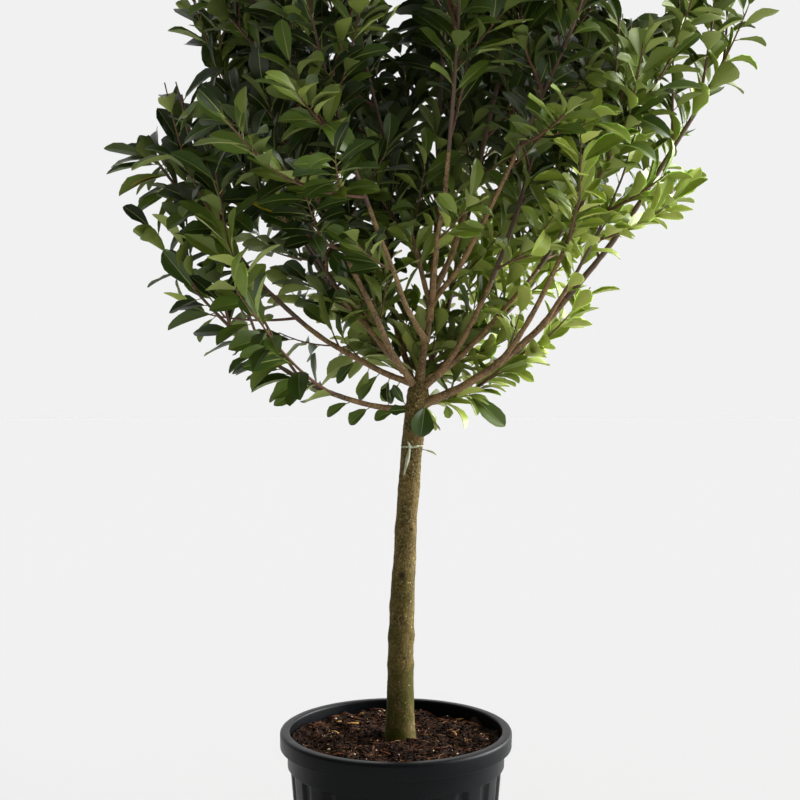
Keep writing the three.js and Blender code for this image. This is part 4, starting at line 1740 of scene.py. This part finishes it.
@dataclass
class SingleLeaves:
    """Leaves set one by one: round the fork, on the middle stems and on the long left bough."""

    limbs: dict[str, Wood]
    blades: Sequence[Material]
    leaf_rule: LeafRule = field(default_factory=lambda: LeafRule(width_vary=0, stalk=5, seed=19))
    leaves: tuple[LoneLeaf, ...] = tuple(itertools.starmap(LoneLeaf, (
        ("trunk", 0.935, (-0.12, -0.42, -0.9), (0.05, -0.93, 0.35), 52, 40, Tone.SHADE, (0.75, -0.66, 0)),
        ("left_low", 0.03, (-0.96, -0.2, -0.02), (0.1, -0.8, 0.5), 32, 20, Tone.SHADE),
        ("left_low", 0.1, (-0.93, -0.25, -0.16), (0.1, -0.85, 0.45), 35, 22, Tone.MID),
        ("left_low", 0.22, (-0.76, -0.25, -0.5), (-0.2, -0.8, 0.5), 40, 25, Tone.MID),
        ("left_low", 0.31, (-0.86, -0.2, -0.36), (-0.1, -0.75, 0.6), 42, 20, Tone.MID),
        ("left_low", 0.05, (-0.55, -0.15, 0.8), (-0.7, -0.7, 0.1), 36, 22, Tone.SHADE),
        ("left_low", 0.13, (-0.2, 0.3, 0.95), (-0.6, -0.6, 0.3), 38, 22, Tone.DEEP),
        ("left_low", 0.37, (-0.9, -0.25, 0.3), (-0.3, -0.6, 0.7), 34, 17, Tone.SHADE),
        ("right_spray", 0.3, (0.3, -0.2, -0.93), (0.3, -0.9, 0.1), 24, 18, Tone.FRESH),
        ("right_spray", 0.5, (0.7, 0.1, -0.7), (0.45, -0.75, 0.5), 40, 22, Tone.OLIVE),
        ("right_spray", 0.54, (0.76, -0.15, -0.62), (-0.2, -0.85, 0.45), 82, 34, Tone.MID),
        ("right_spray", 0.5, (0.95, -0.2, -0.1), (0.1, -0.6, 0.75), 44, 21, Tone.OLIVE),
        ("left_long", 1.0, (-0.86, -0.2, 0.36), (-0.1, -0.65, 0.75), 84, 33, Tone.MID),
        ("left_long", 1.0, (-0.96, 0.1, 0.2), (-0.1, -0.5, 0.85), 82, 30, Tone.SHADE),
        ("left_long", 0.99, (-0.98, -0.15, -0.06), (0.0, -0.5, 0.85), 84, 31, Tone.SHADE),
        ("left_long", 0.98, (-0.6, -0.1, 0.78), (-0.6, -0.75, 0.3), 62, 30, Tone.SHADE),
        ("left_long", 0.97, (0.15, -0.3, 0.94), (-0.2, -0.95, 0.2), 46, 30, Tone.MID),
        ("left_long", 0.96, (-0.94, -0.2, -0.22), (0.0, -0.7, 0.7), 84, 32, Tone.OLIVE),
        ("left_long", 0.92, (-0.92, -0.22, -0.3), (-0.1, -0.6, 0.75), 76, 30, Tone.MID),
        ("left_long", 0.07, (-0.5, 0.25, -0.83), (-0.5, -0.8, 0.2), 40, 19, Tone.SHADE),
        ("left_long", 0.11, (-0.25, 0.3, -0.92), (-0.3, -0.9, 0.1), 50, 22, Tone.OLIVE),
        ("left_long", 0.15, (-0.65, 0.2, -0.73), (-0.4, -0.8, 0.4), 56, 24, Tone.MID),
        ("left_long", 0.19, (-0.35, 0.3, -0.89), (0.3, -0.9, 0.1), 52, 20, Tone.OLIVE),
        ("left_long", 0.24, (-0.7, 0.25, -0.67), (-0.3, -0.8, 0.5), 50, 22, Tone.SHADE),
        ("stem_left", 0.1, (0.55, 0.4, 0.73), (0.2, -0.9, 0.4), 60, 28, Tone.MID),
        ("stem_left", 0.14, (0.75, 0.3, 0.59), (0.1, -0.8, 0.6), 62, 27, Tone.SHADE),
        ("stem_left", 0.19, (0.6, 0.5, 0.62), (-0.2, -0.9, 0.4), 62, 28, Tone.OLIVE),
        ("stem_left", 0.25, (0.7, 0.4, 0.59), (0.3, -0.8, 0.5), 60, 27, Tone.SHADE),
        ("stem_centre", 0.06, (-0.62, 0.35, 0.7), (-0.2, -0.9, 0.4), 58, 28, Tone.OLIVE),
        ("stem_centre", 0.12, (-0.55, 0.4, 0.73), (0.2, -0.9, 0.4), 60, 28, Tone.MID),
        ("stem_centre", 0.18, (-0.7, 0.35, 0.62), (-0.1, -0.8, 0.6), 60, 27, Tone.SHADE),
        ("stem_centre", 0.545, (-0.9, 0.1, 0.4), (0.1, -0.9, 0.4), 80, 33, Tone.DEEP),
        ("stem_centre", 0.59, (-0.75, 0.1, 0.65), (0.2, -0.9, 0.4), 62, 29, Tone.SHADE),
        ("stem_centre", 0.61, (-0.93, 0.2, 0.3), (0.0, -0.85, 0.5), 88, 36, Tone.DEEP),
        ("stem_centre", 0.635, (-0.8, -0.1, 0.6), (-0.2, -0.9, 0.4), 62, 28, Tone.SHADE),
        ("stem_centre", 0.65, (-0.95, 0.15, 0.2), (0.1, -0.85, 0.5), 88, 36, Tone.DEEP),
        ("stem_centre", 0.67, (-0.92, 0.0, 0.3), (0.1, -0.8, 0.6), 86, 35, Tone.SHADE),
        ("stem_centre", 0.69, (-0.96, 0.2, 0.1), (-0.1, -0.85, 0.5), 86, 35, Tone.DEEP),
        ("trunk", 0.812, (0.9, -0.25, -0.25), (0.2, -0.5, 0.8), 22, 6.5, Tone.DRIED),
        ("trunk", 0.9, (0.84, -0.1, -0.52), (0.3, -0.8, 0.5), 30, 5, Tone.DRIED),
    )))

    def build(self) -> None:
        """Sets each leaf on its limb's bark and makes the piece."""
        maker = MeshMaker()
        random = np.random.default_rng(self.leaf_rule.seed)
        for leaf in self.leaves:
            limb = self.limbs[leaf.limb]
            axis, along = unit(np.array(leaf.axis)), limb.tangent(leaf.share)
            off = np.array(leaf.side or leaf.axis)
            off = unit(off - along * (off @ along))
            root = limb.arc(leaf.share) + off * float(limb.radius(np.array(leaf.share)))
            face = np.array(leaf.face)
            face = unit(face - axis * (face @ axis))
            rule = replace(self.leaf_rule, length=leaf.length, width=leaf.width)
            shaped = rule.shape(root[None], axis[None], face[None], np.ones(1), random)
            rule.put(maker, shaped, np.array([list(Tone).index(leaf.tone)]))
        settle(maker.make("leaves_single", self.blades))


@dataclass(frozen=True)
class RaffiaFibre:
    """Raffia, split and dried: a pale straw strip with long greenish and whitish streaks."""

    name: str = "raffia_split_dried"
    pale: str = "d3d2bb"
    straw: str = "8f986c"
    roughness: float = 0.6
    # Real streaks are about a third as wide, too fine to show, so they are drawn coarser.
    streak: float = 2.4

    def material(self) -> Material:
        """Makes the material.

        Returns:
            The material.
        """
        material, add = new_material(self.name)
        place = add("TexCoord").outputs["Object"]
        drawn = add("Mapping", Vector=place, Scale=(1.0, 1.0, 0.12))
        streak = add("TexNoise", Vector=drawn, Scale=per_mm(self.streak), Detail=3.0)
        share = add("MapRange", Value=streak, From_Min=0.4, From_Max=0.6)
        colour = add("Mix", {"data_type": "RGBA"}, Factor=share, A=linear(self.straw), B=linear(self.pale))
        bump = add("Bump", Strength=0.4, Distance=0.0005, Height=streak)
        return surfaced(material, Base_Color=colour, Roughness=self.roughness, Normal=bump)


@dataclass(frozen=True)
class TieEnd:
    """A loose end of the tie: how far it goes sideways and up, its width and its twist in degrees."""

    sideways: float
    rise: float
    width: float
    twist: float


@dataclass
class RaffiaTie:
    """A strip of raffia knotted round the stem below the fork: one end hangs down, a short one stands up."""

    trunk: Trunk
    height: float = 833
    slant: float = 1.5
    slant_turn: float = 0.6
    ripple: float = 0.5
    ripples: int = 5
    width: float = 3.6
    width_vary: float = 0.25
    width_waves: int = 3
    thick: float = 0.9
    proud: float = 0.9
    knot_angle: float = math.radians(-104)
    knot: float = 3.0
    knot_length: float = 0.9
    knot_thick: float = 0.75
    knot_end: float = 0.2
    knot_rows: int = 9
    knot_sides: int = 10
    knot_proud: float = 0.6
    ends: tuple[TieEnd, ...] = (TieEnd(-10.5, -52.0, 6.2, 56.0), TieEnd(-3.5, 8.5, 3.0, 36.0))
    end_turn: float = 20
    end_clear: float = 1.6
    end_bow: float = 1.2
    end_tip: float = 0.9
    end_blunt: float = 0.8
    end_swing: float = 1.3
    end_flat: float = 0.35
    end_rows: int = 15
    columns: int = 72
    finish: RaffiaFibre = RaffiaFibre()

    def strip(self, maker: MeshMaker, line: Array, across: Array, outward: Array, wide: Array,
              closed: bool) -> None:
        """Adds a flat strip with a lens-shaped section.

        Args:
            maker: The mesh.
            line: Points of its middle.
            across: Its sideways direction at each.
            outward: The direction that it faces at each.
            wide: Its width at each.
            closed: Whether it runs round to its start.
        """
        half, thin = (wide / 2)[:, None], self.thick / 2
        rows = np.stack((line + across * half, line + outward * thin,
                         line - across * half, line - outward * thin), axis=1)
        if closed:
            rows = np.concatenate((rows, rows[:1]))
            points = rows[:-1].reshape(-1, 3)
            maker.add(points, (grid_quads(len(rows), 4) % len(points),))
        else:
            add_tube(maker, rows)

    def build(self) -> None:
        """Winds the strip round the stem, knots it and leaves its ends loose."""
        maker = MeshMaker()
        share = self.trunk.share_at(self.height)
        middle, radius = self.trunk.arc(share), float(self.trunk.radius(share)) + self.proud
        turn = turns(self.columns)
        outward = spokes(turn)
        wavy = self.slant * np.sin(turn + self.slant_turn) + self.ripple * np.sin(self.ripples * turn)
        line = middle + outward * radius + UP * wavy[:, None]
        wide = self.width * (1 + self.width_vary * np.sin(self.width_waves * turn))
        self.strip(maker, line, np.broadcast_to(UP, line.shape), outward, wide, True)
        facing = spokes(self.knot_angle)
        side = np.cross(UP, facing)
        heart = middle + facing * (radius + self.knot_proud)
        run = np.linspace(0, math.pi, self.knot_rows)
        lump = heart + side * (np.cos(run) * self.knot)[:, None] * self.knot_length
        thick = self.knot_end + self.knot * self.knot_thick * np.sin(run)
        add_tube(maker, sweep(lump, np.broadcast_to(side, lump.shape), UP, thick, self.knot_sides))
        run = np.linspace(0, 1, self.end_rows)
        for end in self.ends:
            height = heart[2] + end.rise * run
            at = self.trunk.share_at(height)
            x = heart[0] + end.sideways * run**self.end_swing
            bark = np.sqrt(np.maximum(self.trunk.radius(at) ** 2 - (x - self.trunk.arc(at)[:, 0]) ** 2, 0))
            y = -bark - self.end_clear - self.end_bow * np.sin(math.pi * run)
            line = np.stack((x, y, height), axis=-1)
            lay = spokes(np.radians(end.twist * run + self.end_turn)) * (1, -self.end_flat, 1)
            front = unit(np.cross(np.gradient(line, axis=0), lay))
            wide = self.end_tip + end.width * np.sin(math.pi * run**self.end_blunt) ** self.end_blunt
            self.strip(maker, line, unit(lay), front, wide, False)
        settle(maker.make("raffia_tie", [self.finish.material()]))


@dataclass(frozen=True)
class GreenRule:
    """How sprays are dealt their greens by where they are, which paints light and shade on them: painted
    shade deep inside and on the lower left, painted light low down and on the right, and a painted backlit
    glow low on the right.
    """

    start: float = 0.3
    # Painted shade: sprays deep inside the crown are dealt darker greens and those near its outline lighter
    # ones, partly also because older inner leaves are darker.
    by_outer: float = 2.2
    outer_depth: Span = (50, 230)
    # Painted light: sprays low in the crown, up to a greater height towards the right, are dealt lighter
    # greens for the light thrown up from the floor.
    by_low: float = 2.4
    low_z: Span = (980, 1240)
    low_rise: float = 180
    low_rise_x: Span = (-220, 180)
    # Painted glow: sprays low on the right, where light comes through the leaves from behind, are dealt the
    # light yellow greens of backlit leaves, less of it far to the right.
    by_backlit_glow: float = 1.5
    backlit_glow_x: Span = (-60, 180)
    backlit_glow_loss: float = 0.6
    backlit_glow_loss_x: Span = (240, 400)
    # Painted shade: sprays on the left, below the upper crown, are dealt darker greens.
    shaded_x: Span = (-260, -60)
    shaded_z: Span = (1150, 1450)
    # Painted light: sprays towards the right, where the strongest light falls, are dealt lighter greens, and
    # those on the left darker ones.
    by_sun: float = 0.9
    sun_x: Span = (-60, 330)
    sun_loss: float = 0.6
    spray_vary: float = 0.75
    leaf_vary: float = 0.7
    # The lightest green a spray may be dealt, raised low down for the painted floor light and more for the
    # painted backlit glow.
    brightest: float = 3.3
    brightest_low: float = 1.0
    brightest_backlit_glow: float = 1.4
    yellow: float = 0.002

    def deal(self, outline: Outline, root: Array, spray: Array, random: Random) -> Array:
        """Deals each spray a green that paints light and shade by where it stands, and lets some leaves
        differ.

        Args:
            outline: The crown's outline.
            root: Where the leaves stand.
            spray: The number of each leaf's spray.
            random: Where the deal is drawn from.

        Returns:
            The number of each leaf's tone.
        """
        count = int(spray.max()) + 1
        middle = np.stack([np.bincount(spray, root[:, i], count) for i in range(3)], axis=-1)
        middle /= np.maximum(np.bincount(spray, minlength=count), 1)[:, None]
        x, z = middle[:, 0], middle[:, 2]
        # Painted shade deep inside the crown.
        outer = 1 - smoothstep(outline.depth(middle), *self.outer_depth)
        # Painted light thrown up from the floor onto the lower crown.
        low = 1 - smoothstep(z - self.low_rise * smoothstep(x, *self.low_rise_x), *self.low_z)
        # Painted backlit glow low on the right.
        backlit_glow = low * (smoothstep(x, *self.backlit_glow_x) - self.backlit_glow_loss * smoothstep(x, *self.backlit_glow_loss_x))
        # Painted shade on the lower left of the crown.
        shaded = (1 - smoothstep(x, *self.shaded_x)) * (1 - smoothstep(z, *self.shaded_z))
        # Painted light on the right side, and painted shade on the left.
        sunny = self.by_sun * smoothstep(x, *self.sun_x) - self.sun_loss - shaded
        bright = self.start + self.by_outer * outer + self.by_low * low + self.by_backlit_glow * backlit_glow + sunny
        bright = bright + random.normal(0, self.spray_vary, count)
        tone = bright[spray] + random.normal(0, self.leaf_vary, len(spray))
        most = self.brightest + self.brightest_low * low[spray] + self.brightest_backlit_glow * backlit_glow[spray]
        tones = list(Tone)
        tone = np.clip(np.round(np.minimum(tone, most)), 0, tones.index(Tone.GLOW)).astype(int)
        return np.where(random.uniform(size=len(spray)) < self.yellow, tones.index(Tone.YELLOW), tone)


class Sector(Enum):
    """The sides of the crown that leaves and twigs are joined by."""

    LEFT = ("left_low", "left_long", "left_high", "left_back")
    RIGHT = ("right_low", "right_high", "right_fork", "right_spray")
    INNER_RIGHT = ("right_mid", "right_inner", "right_back")
    BACK = ("back_right", "back_left")
    CENTRE = ("stem_right", "stem_centre", "stem_left", "left_up")
    FRONT = ("front_left", "front_mid", "front_right")


@dataclass
class Crown:
    """Stems, twigs and leaves of every mass, joined by the side of the crown that they are on."""

    limbs: dict[str, Wood]
    blades: Sequence[Material]
    outline: Outline = Outline()
    twig_rule: TwigRule = field(default_factory=TwigRule)
    leaf_rule: LeafRule = field(default_factory=LeafRule)
    greens: GreenRule = GreenRule()
    # Rings of points on a twig and on a finer one.
    twig_rings: tuple[int, int] = (9, 7)
    twig_sides: int = 6
    stem_end: float = 230
    stem_seed: int = 77
    leafy_stems: tuple[str, ...] = ("left_low", "left_long")
    twig_bark: PlainFinish = PlainFinish("twig_bark_young_red_brown", "664531", 0.6)
    stem_bark: PlainFinish = PlainFinish("twig_bark_grey_brown", "604c3e", 0.7)

    def build(self) -> None:
        """Grows every mass and makes the joined pieces."""
        leafy = [limb for limb in self.limbs.values() if limb.bare < 1]
        numbers = {limb.name: number for number, limb in enumerate(leafy)}
        stems = [self.stem_bark.material(), self.twig_bark.material()]
        total = 0
        for sector in Sector:
            wood, leaves = MeshMaker(), MeshMaker()
            for name in sector.value:
                total += self.grow(self.limbs[name], numbers[name], wood, leaves)
            nodes = [f"foliage_{name}" for name in sector.value]
            side = sector.name.lower()
            settle(wood.make(f"twigs_{side}", stems), nodes)
            settle(leaves.make(f"leaves_{side}", self.blades), nodes)
        log.info("leaves: %d", total)

    def grow(self, limb: Wood, number: int, wood: MeshMaker, leaves: MeshMaker) -> int:
        """Grows one mass: twigs and finer twigs on its stem, whose own end is leafy too.

        Args:
            limb: The limb whose end is its stem.
            number: The mass's number.
            wood: The mesh that stem and twigs go to.
            leaves: The mesh that leaves go to.

        Returns:
            How many leaves it has.
        """
        space = Space(limb, self.limbs, self.outline)
        add_tube(wood, limb.rings(limb.bare, 1.0), 0)
        twigs = self.twig_rule.twigs(limb, number, space)
        finer = self.twig_rule.finer(twigs, space) + self.twig_rule.spurs(limb, number, space)
        top = self.stem_top(limb, number)
        finer += self.twig_rule.finer([top], space)
        for shoot in (*twigs, *finer):
            share = np.linspace(0, shoot.end, self.twig_rings[shoot.order - 1])
            radius = lerp(shoot.foot_radius, shoot.tip_radius, share / shoot.end)
            side = sides_of(shoot.tangent(shoot.end / 2))
            add_tube(wood, sweep(shoot.arc(share), shoot.tangent(share), side, radius, self.twig_sides), 1)
        return self.add_leaves((top, *twigs, *finer), space, leaves, number)

    def stem_top(self, limb: Wood, number: int) -> Shoot:
        """Takes the leafy end of a limb's stem for a shoot.

        Args:
            limb: The limb.
            number: The mass's number.

        Returns:
            The shoot.
        """
        bare = limb.bare if limb.name in self.leafy_stems else 1 - self.stem_end / limb.length
        return StemEnd(limb.foot, limb.bend, limb.tip, 1.0, limb.length * (1 - bare), number, 2, 1, 1,
                       self.stem_seed + number, limb, bare)

    def add_leaves(self, shoots: Sequence[Shoot], space: Space, maker: MeshMaker, number: int) -> int:
        """Puts leaves on shoots, from each tip back towards the foot.

        Args:
            shoots: The twigs of one mass.
            space: Its space.
            maker: The mesh that they go to.
            number: The mass's number.

        Returns:
            How many there is room for.
        """
        rule = self.leaf_rule
        random = np.random.default_rng(rule.seed + number)
        leaning = space.limb.name in self.leafy_stems
        step = rule.step * (rule.hang_spacing if leaning else 1)
        root, along, place, spin, spray = rule.places(shoots, step)
        spread = lerp(rule.tip_angle, rule.angle, np.clip(place / rule.tip_leaves, 0, 1))
        angle = spread + random.uniform(-0.5, 0.5, len(root)) * rule.angle_vary
        size = (rule.hang_size if leaning else 1) + random.uniform(-0.5, 0.5, len(root)) * rule.length_vary
        axis = np.zeros_like(root)
        open_ = np.ones(len(root), bool)
        ranked = (np.abs(along[:, 2]) < rule.ranked_below) & (place > 0)
        tilt = random.normal(rule.rank_rise, rule.rank_vary, len(root))
        ranks = np.where(place % 2 == 1, math.pi - tilt, tilt)
        hang = rule.hang_share if leaning else 0.0
        hanging = (np.abs(along[:, 2]) < rule.hang_below) & (place > 0)
        hanging &= random.uniform(size=len(root)) < hang
        sway = random.normal(0, rule.hang_sway, (len(root), 1))
        drop = random.normal(-rule.hang_drop, rule.hang_vary, (len(root), 1))
        level = unit(along * (1, 1, 0))
        for turn in range(rule.tries):
            roll = np.where(ranked, ranks, place * GOLDEN_ANGLE + spin) + turn * GOLDEN_ANGLE
            hung = unit(level + sides_of(along) * sway * (-rule.sway_grows) ** turn + UP * drop)
            trial = np.where(hanging[:, None], hung, turned_from(along, sides_of(along), angle, roll))
            reach = (size * (1 - turn * rule.yield_share) * (rule.length + rule.stalk))[:, None]
            tips = root + trial * reach
            waist = (tips + root) / 2
            fits = open_ & self.outline.holds(tips, -rule.beyond)
            fits &= self.outline.clear(waist, self.outline.openings)
            for part in (tips, waist):
                fits &= self.outline.clear(part, self.outline.leaf_gaps) & space.clear_of_wood(part)
            axis[fits] = trial[fits]
            size[fits] *= 1 - turn * rule.yield_share
            open_ &= ~fits
        kept = ~open_
        root, axis, size, spray = root[kept], axis[kept], size[kept], spray[kept]
        face = self.faces(root, along[kept], axis, ranked[kept], random)
        shaped = rule.shape(root, axis, face, size, random)
        rule.put(maker, shaped, self.greens.deal(self.outline, root, spray, random))
        return len(root)

    def faces(self, root: Array, along: Array, axis: Array, ranked: Array, random: Random) -> Array:
        """Turns leaves to the light: along their shoot, up, outward and a little to the front.

        Args:
            root: Where the leaves stand.
            along: The shoots' directions there.
            axis: The leaves' directions.
            ranked: Whether they stand in two ranks.
            random: Where their rolls are drawn from.

        Returns:
            The directions that their upper sides face.
        """
        rule = self.leaf_rule
        outward = np.stack((root[:, 0] - self.outline.middle(root), root[:, 1], np.zeros(len(root))), axis=-1)
        to_tip, to_sky = (np.where(ranked, flat, steep)[:, None]
                          for steep, flat in (rule.toward_tip, rule.toward_sky))
        light = to_tip * along + to_sky * UP + rule.outward * unit(outward) - np.array([0, rule.frontward, 0])
        facing = light - axis * (axis * light).sum(axis=-1, keepdims=True)
        along_light = np.linalg.norm(facing, axis=-1, keepdims=True) < rule.steepest
        face = unit(np.where(along_light, sides_of(axis), facing))
        return turned_from(axis, face, math.pi / 2, random.normal(0, rule.roll_vary, len(root)))


@dataclass(frozen=True)
class Lobe:
    """Soft light: where it comes from, how narrow it is and how strong."""

    direction: Triple
    focus: float
    strength: float


@dataclass
class Studio:
    """A pale floor, soft light from the right and behind, and the camera."""

    camera_at: Triple = CAMERA_AT
    lens: float = 51
    sensor: float = 36
    sight: float = 200
    floor_rings: tuple[float, ...] = (60000, 6000, 1500, 300)
    floor_columns: int = 96
    surround: str = "f1f1f1"
    floor: PlainFinish = PlainFinish("paper_sweep_white", "c8c8c8", 1.0, 1.0)
    ambient: float = 0.1
    lobes: tuple[Lobe, ...] = (
        Lobe((0.93, 0.2, 0.34), 12, 22.0),
        Lobe((-0.1, 1.0, 0.1), 2, 1.0),
        Lobe((0.0, -0.2, 1.0), 2, 0.35),
    )

    def build(self) -> None:
        """Makes floor, light and camera."""
        self.lay_floor()
        self.light()
        scene = bpy.context.scene
        scene.view_settings.view_transform = "Standard"
        data = bpy.data.cameras.new("camera")
        data.lens, data.sensor_width = self.lens, self.sensor
        data.clip_end = self.sight
        camera = bpy.data.objects.new("camera", data)
        camera.location = Vector(self.camera_at) * MM
        camera.rotation_euler = (math.pi / 2, 0, 0)
        scene.collection.objects.link(camera)
        scene.camera = camera

    def lay_floor(self) -> None:
        """Makes the floor: a wide round sheet of white paper."""
        columns, rows = self.floor_columns, len(self.floor_rings)
        here = np.arange(columns)
        rings = spokes(turns(columns)) * np.array(self.floor_rings)[:, None, None]
        last = (rows - 1) * columns
        after = (here + 1) % columns
        middle = np.stack((last + here, last + after, np.full(columns, rows * columns)), axis=-1)
        maker = MeshMaker()
        maker.add(np.concatenate((rings.reshape(-1, 3), [[0, 0, 0]])), (grid_quads(rows, columns), middle))
        maker.make("paper_floor", [self.floor.material()])

    def light(self) -> None:
        """Lights the room softly, brightest from one side, and shows the camera a plain wall."""
        world = bpy.data.worlds.new("studio")
        world.use_nodes = True
        world.node_tree.nodes.clear()
        add = partial(add_node, world.node_tree)
        way = add("TexCoord").outputs["Generated"]
        light: float | Node = self.ambient
        for lobe in self.lobes:
            aim = tuple(unit(np.array(lobe.direction)))
            toward = add("VectorMath", {"operation": "DOT_PRODUCT", 0: way, 1: aim})
            ahead = add("Math", {"operation": "MAXIMUM", 0: toward, 1: 0.0})
            soft = add("Math", {"operation": "POWER", 0: ahead, 1: lobe.focus})
            light = add("Math", {"operation": "MULTIPLY_ADD", 0: soft, 1: lobe.strength, 2: light})
        room = add("Background", Color=linear("ffffff"), Strength=light)
        wall = add("Background", Color=linear(self.surround), Strength=1.0)
        seen = add("LightPath").outputs["Is Camera Ray"]
        both = add("MixShader", {0: seen, 1: room, 2: wall})
        add("OutputWorld", Surface=both)
        bpy.context.scene.world = world


def main() -> None:
    """Builds the plant's pieces in order, then the studio."""
    logging.basicConfig(level=logging.INFO, format="%(message)s")
    NurseryPot().build()
    PottingMix().build()
    wood = Frame()
    limbs = wood.limbs()
    wood.build(limbs)
    blades = MagnoliaLeaf().materials()
    Crown(limbs, blades).build()
    SingleLeaves(limbs, blades).build()
    RaffiaTie(limbs["trunk"]).build()
    Studio().build()


if __name__ == "__main__":
    main()
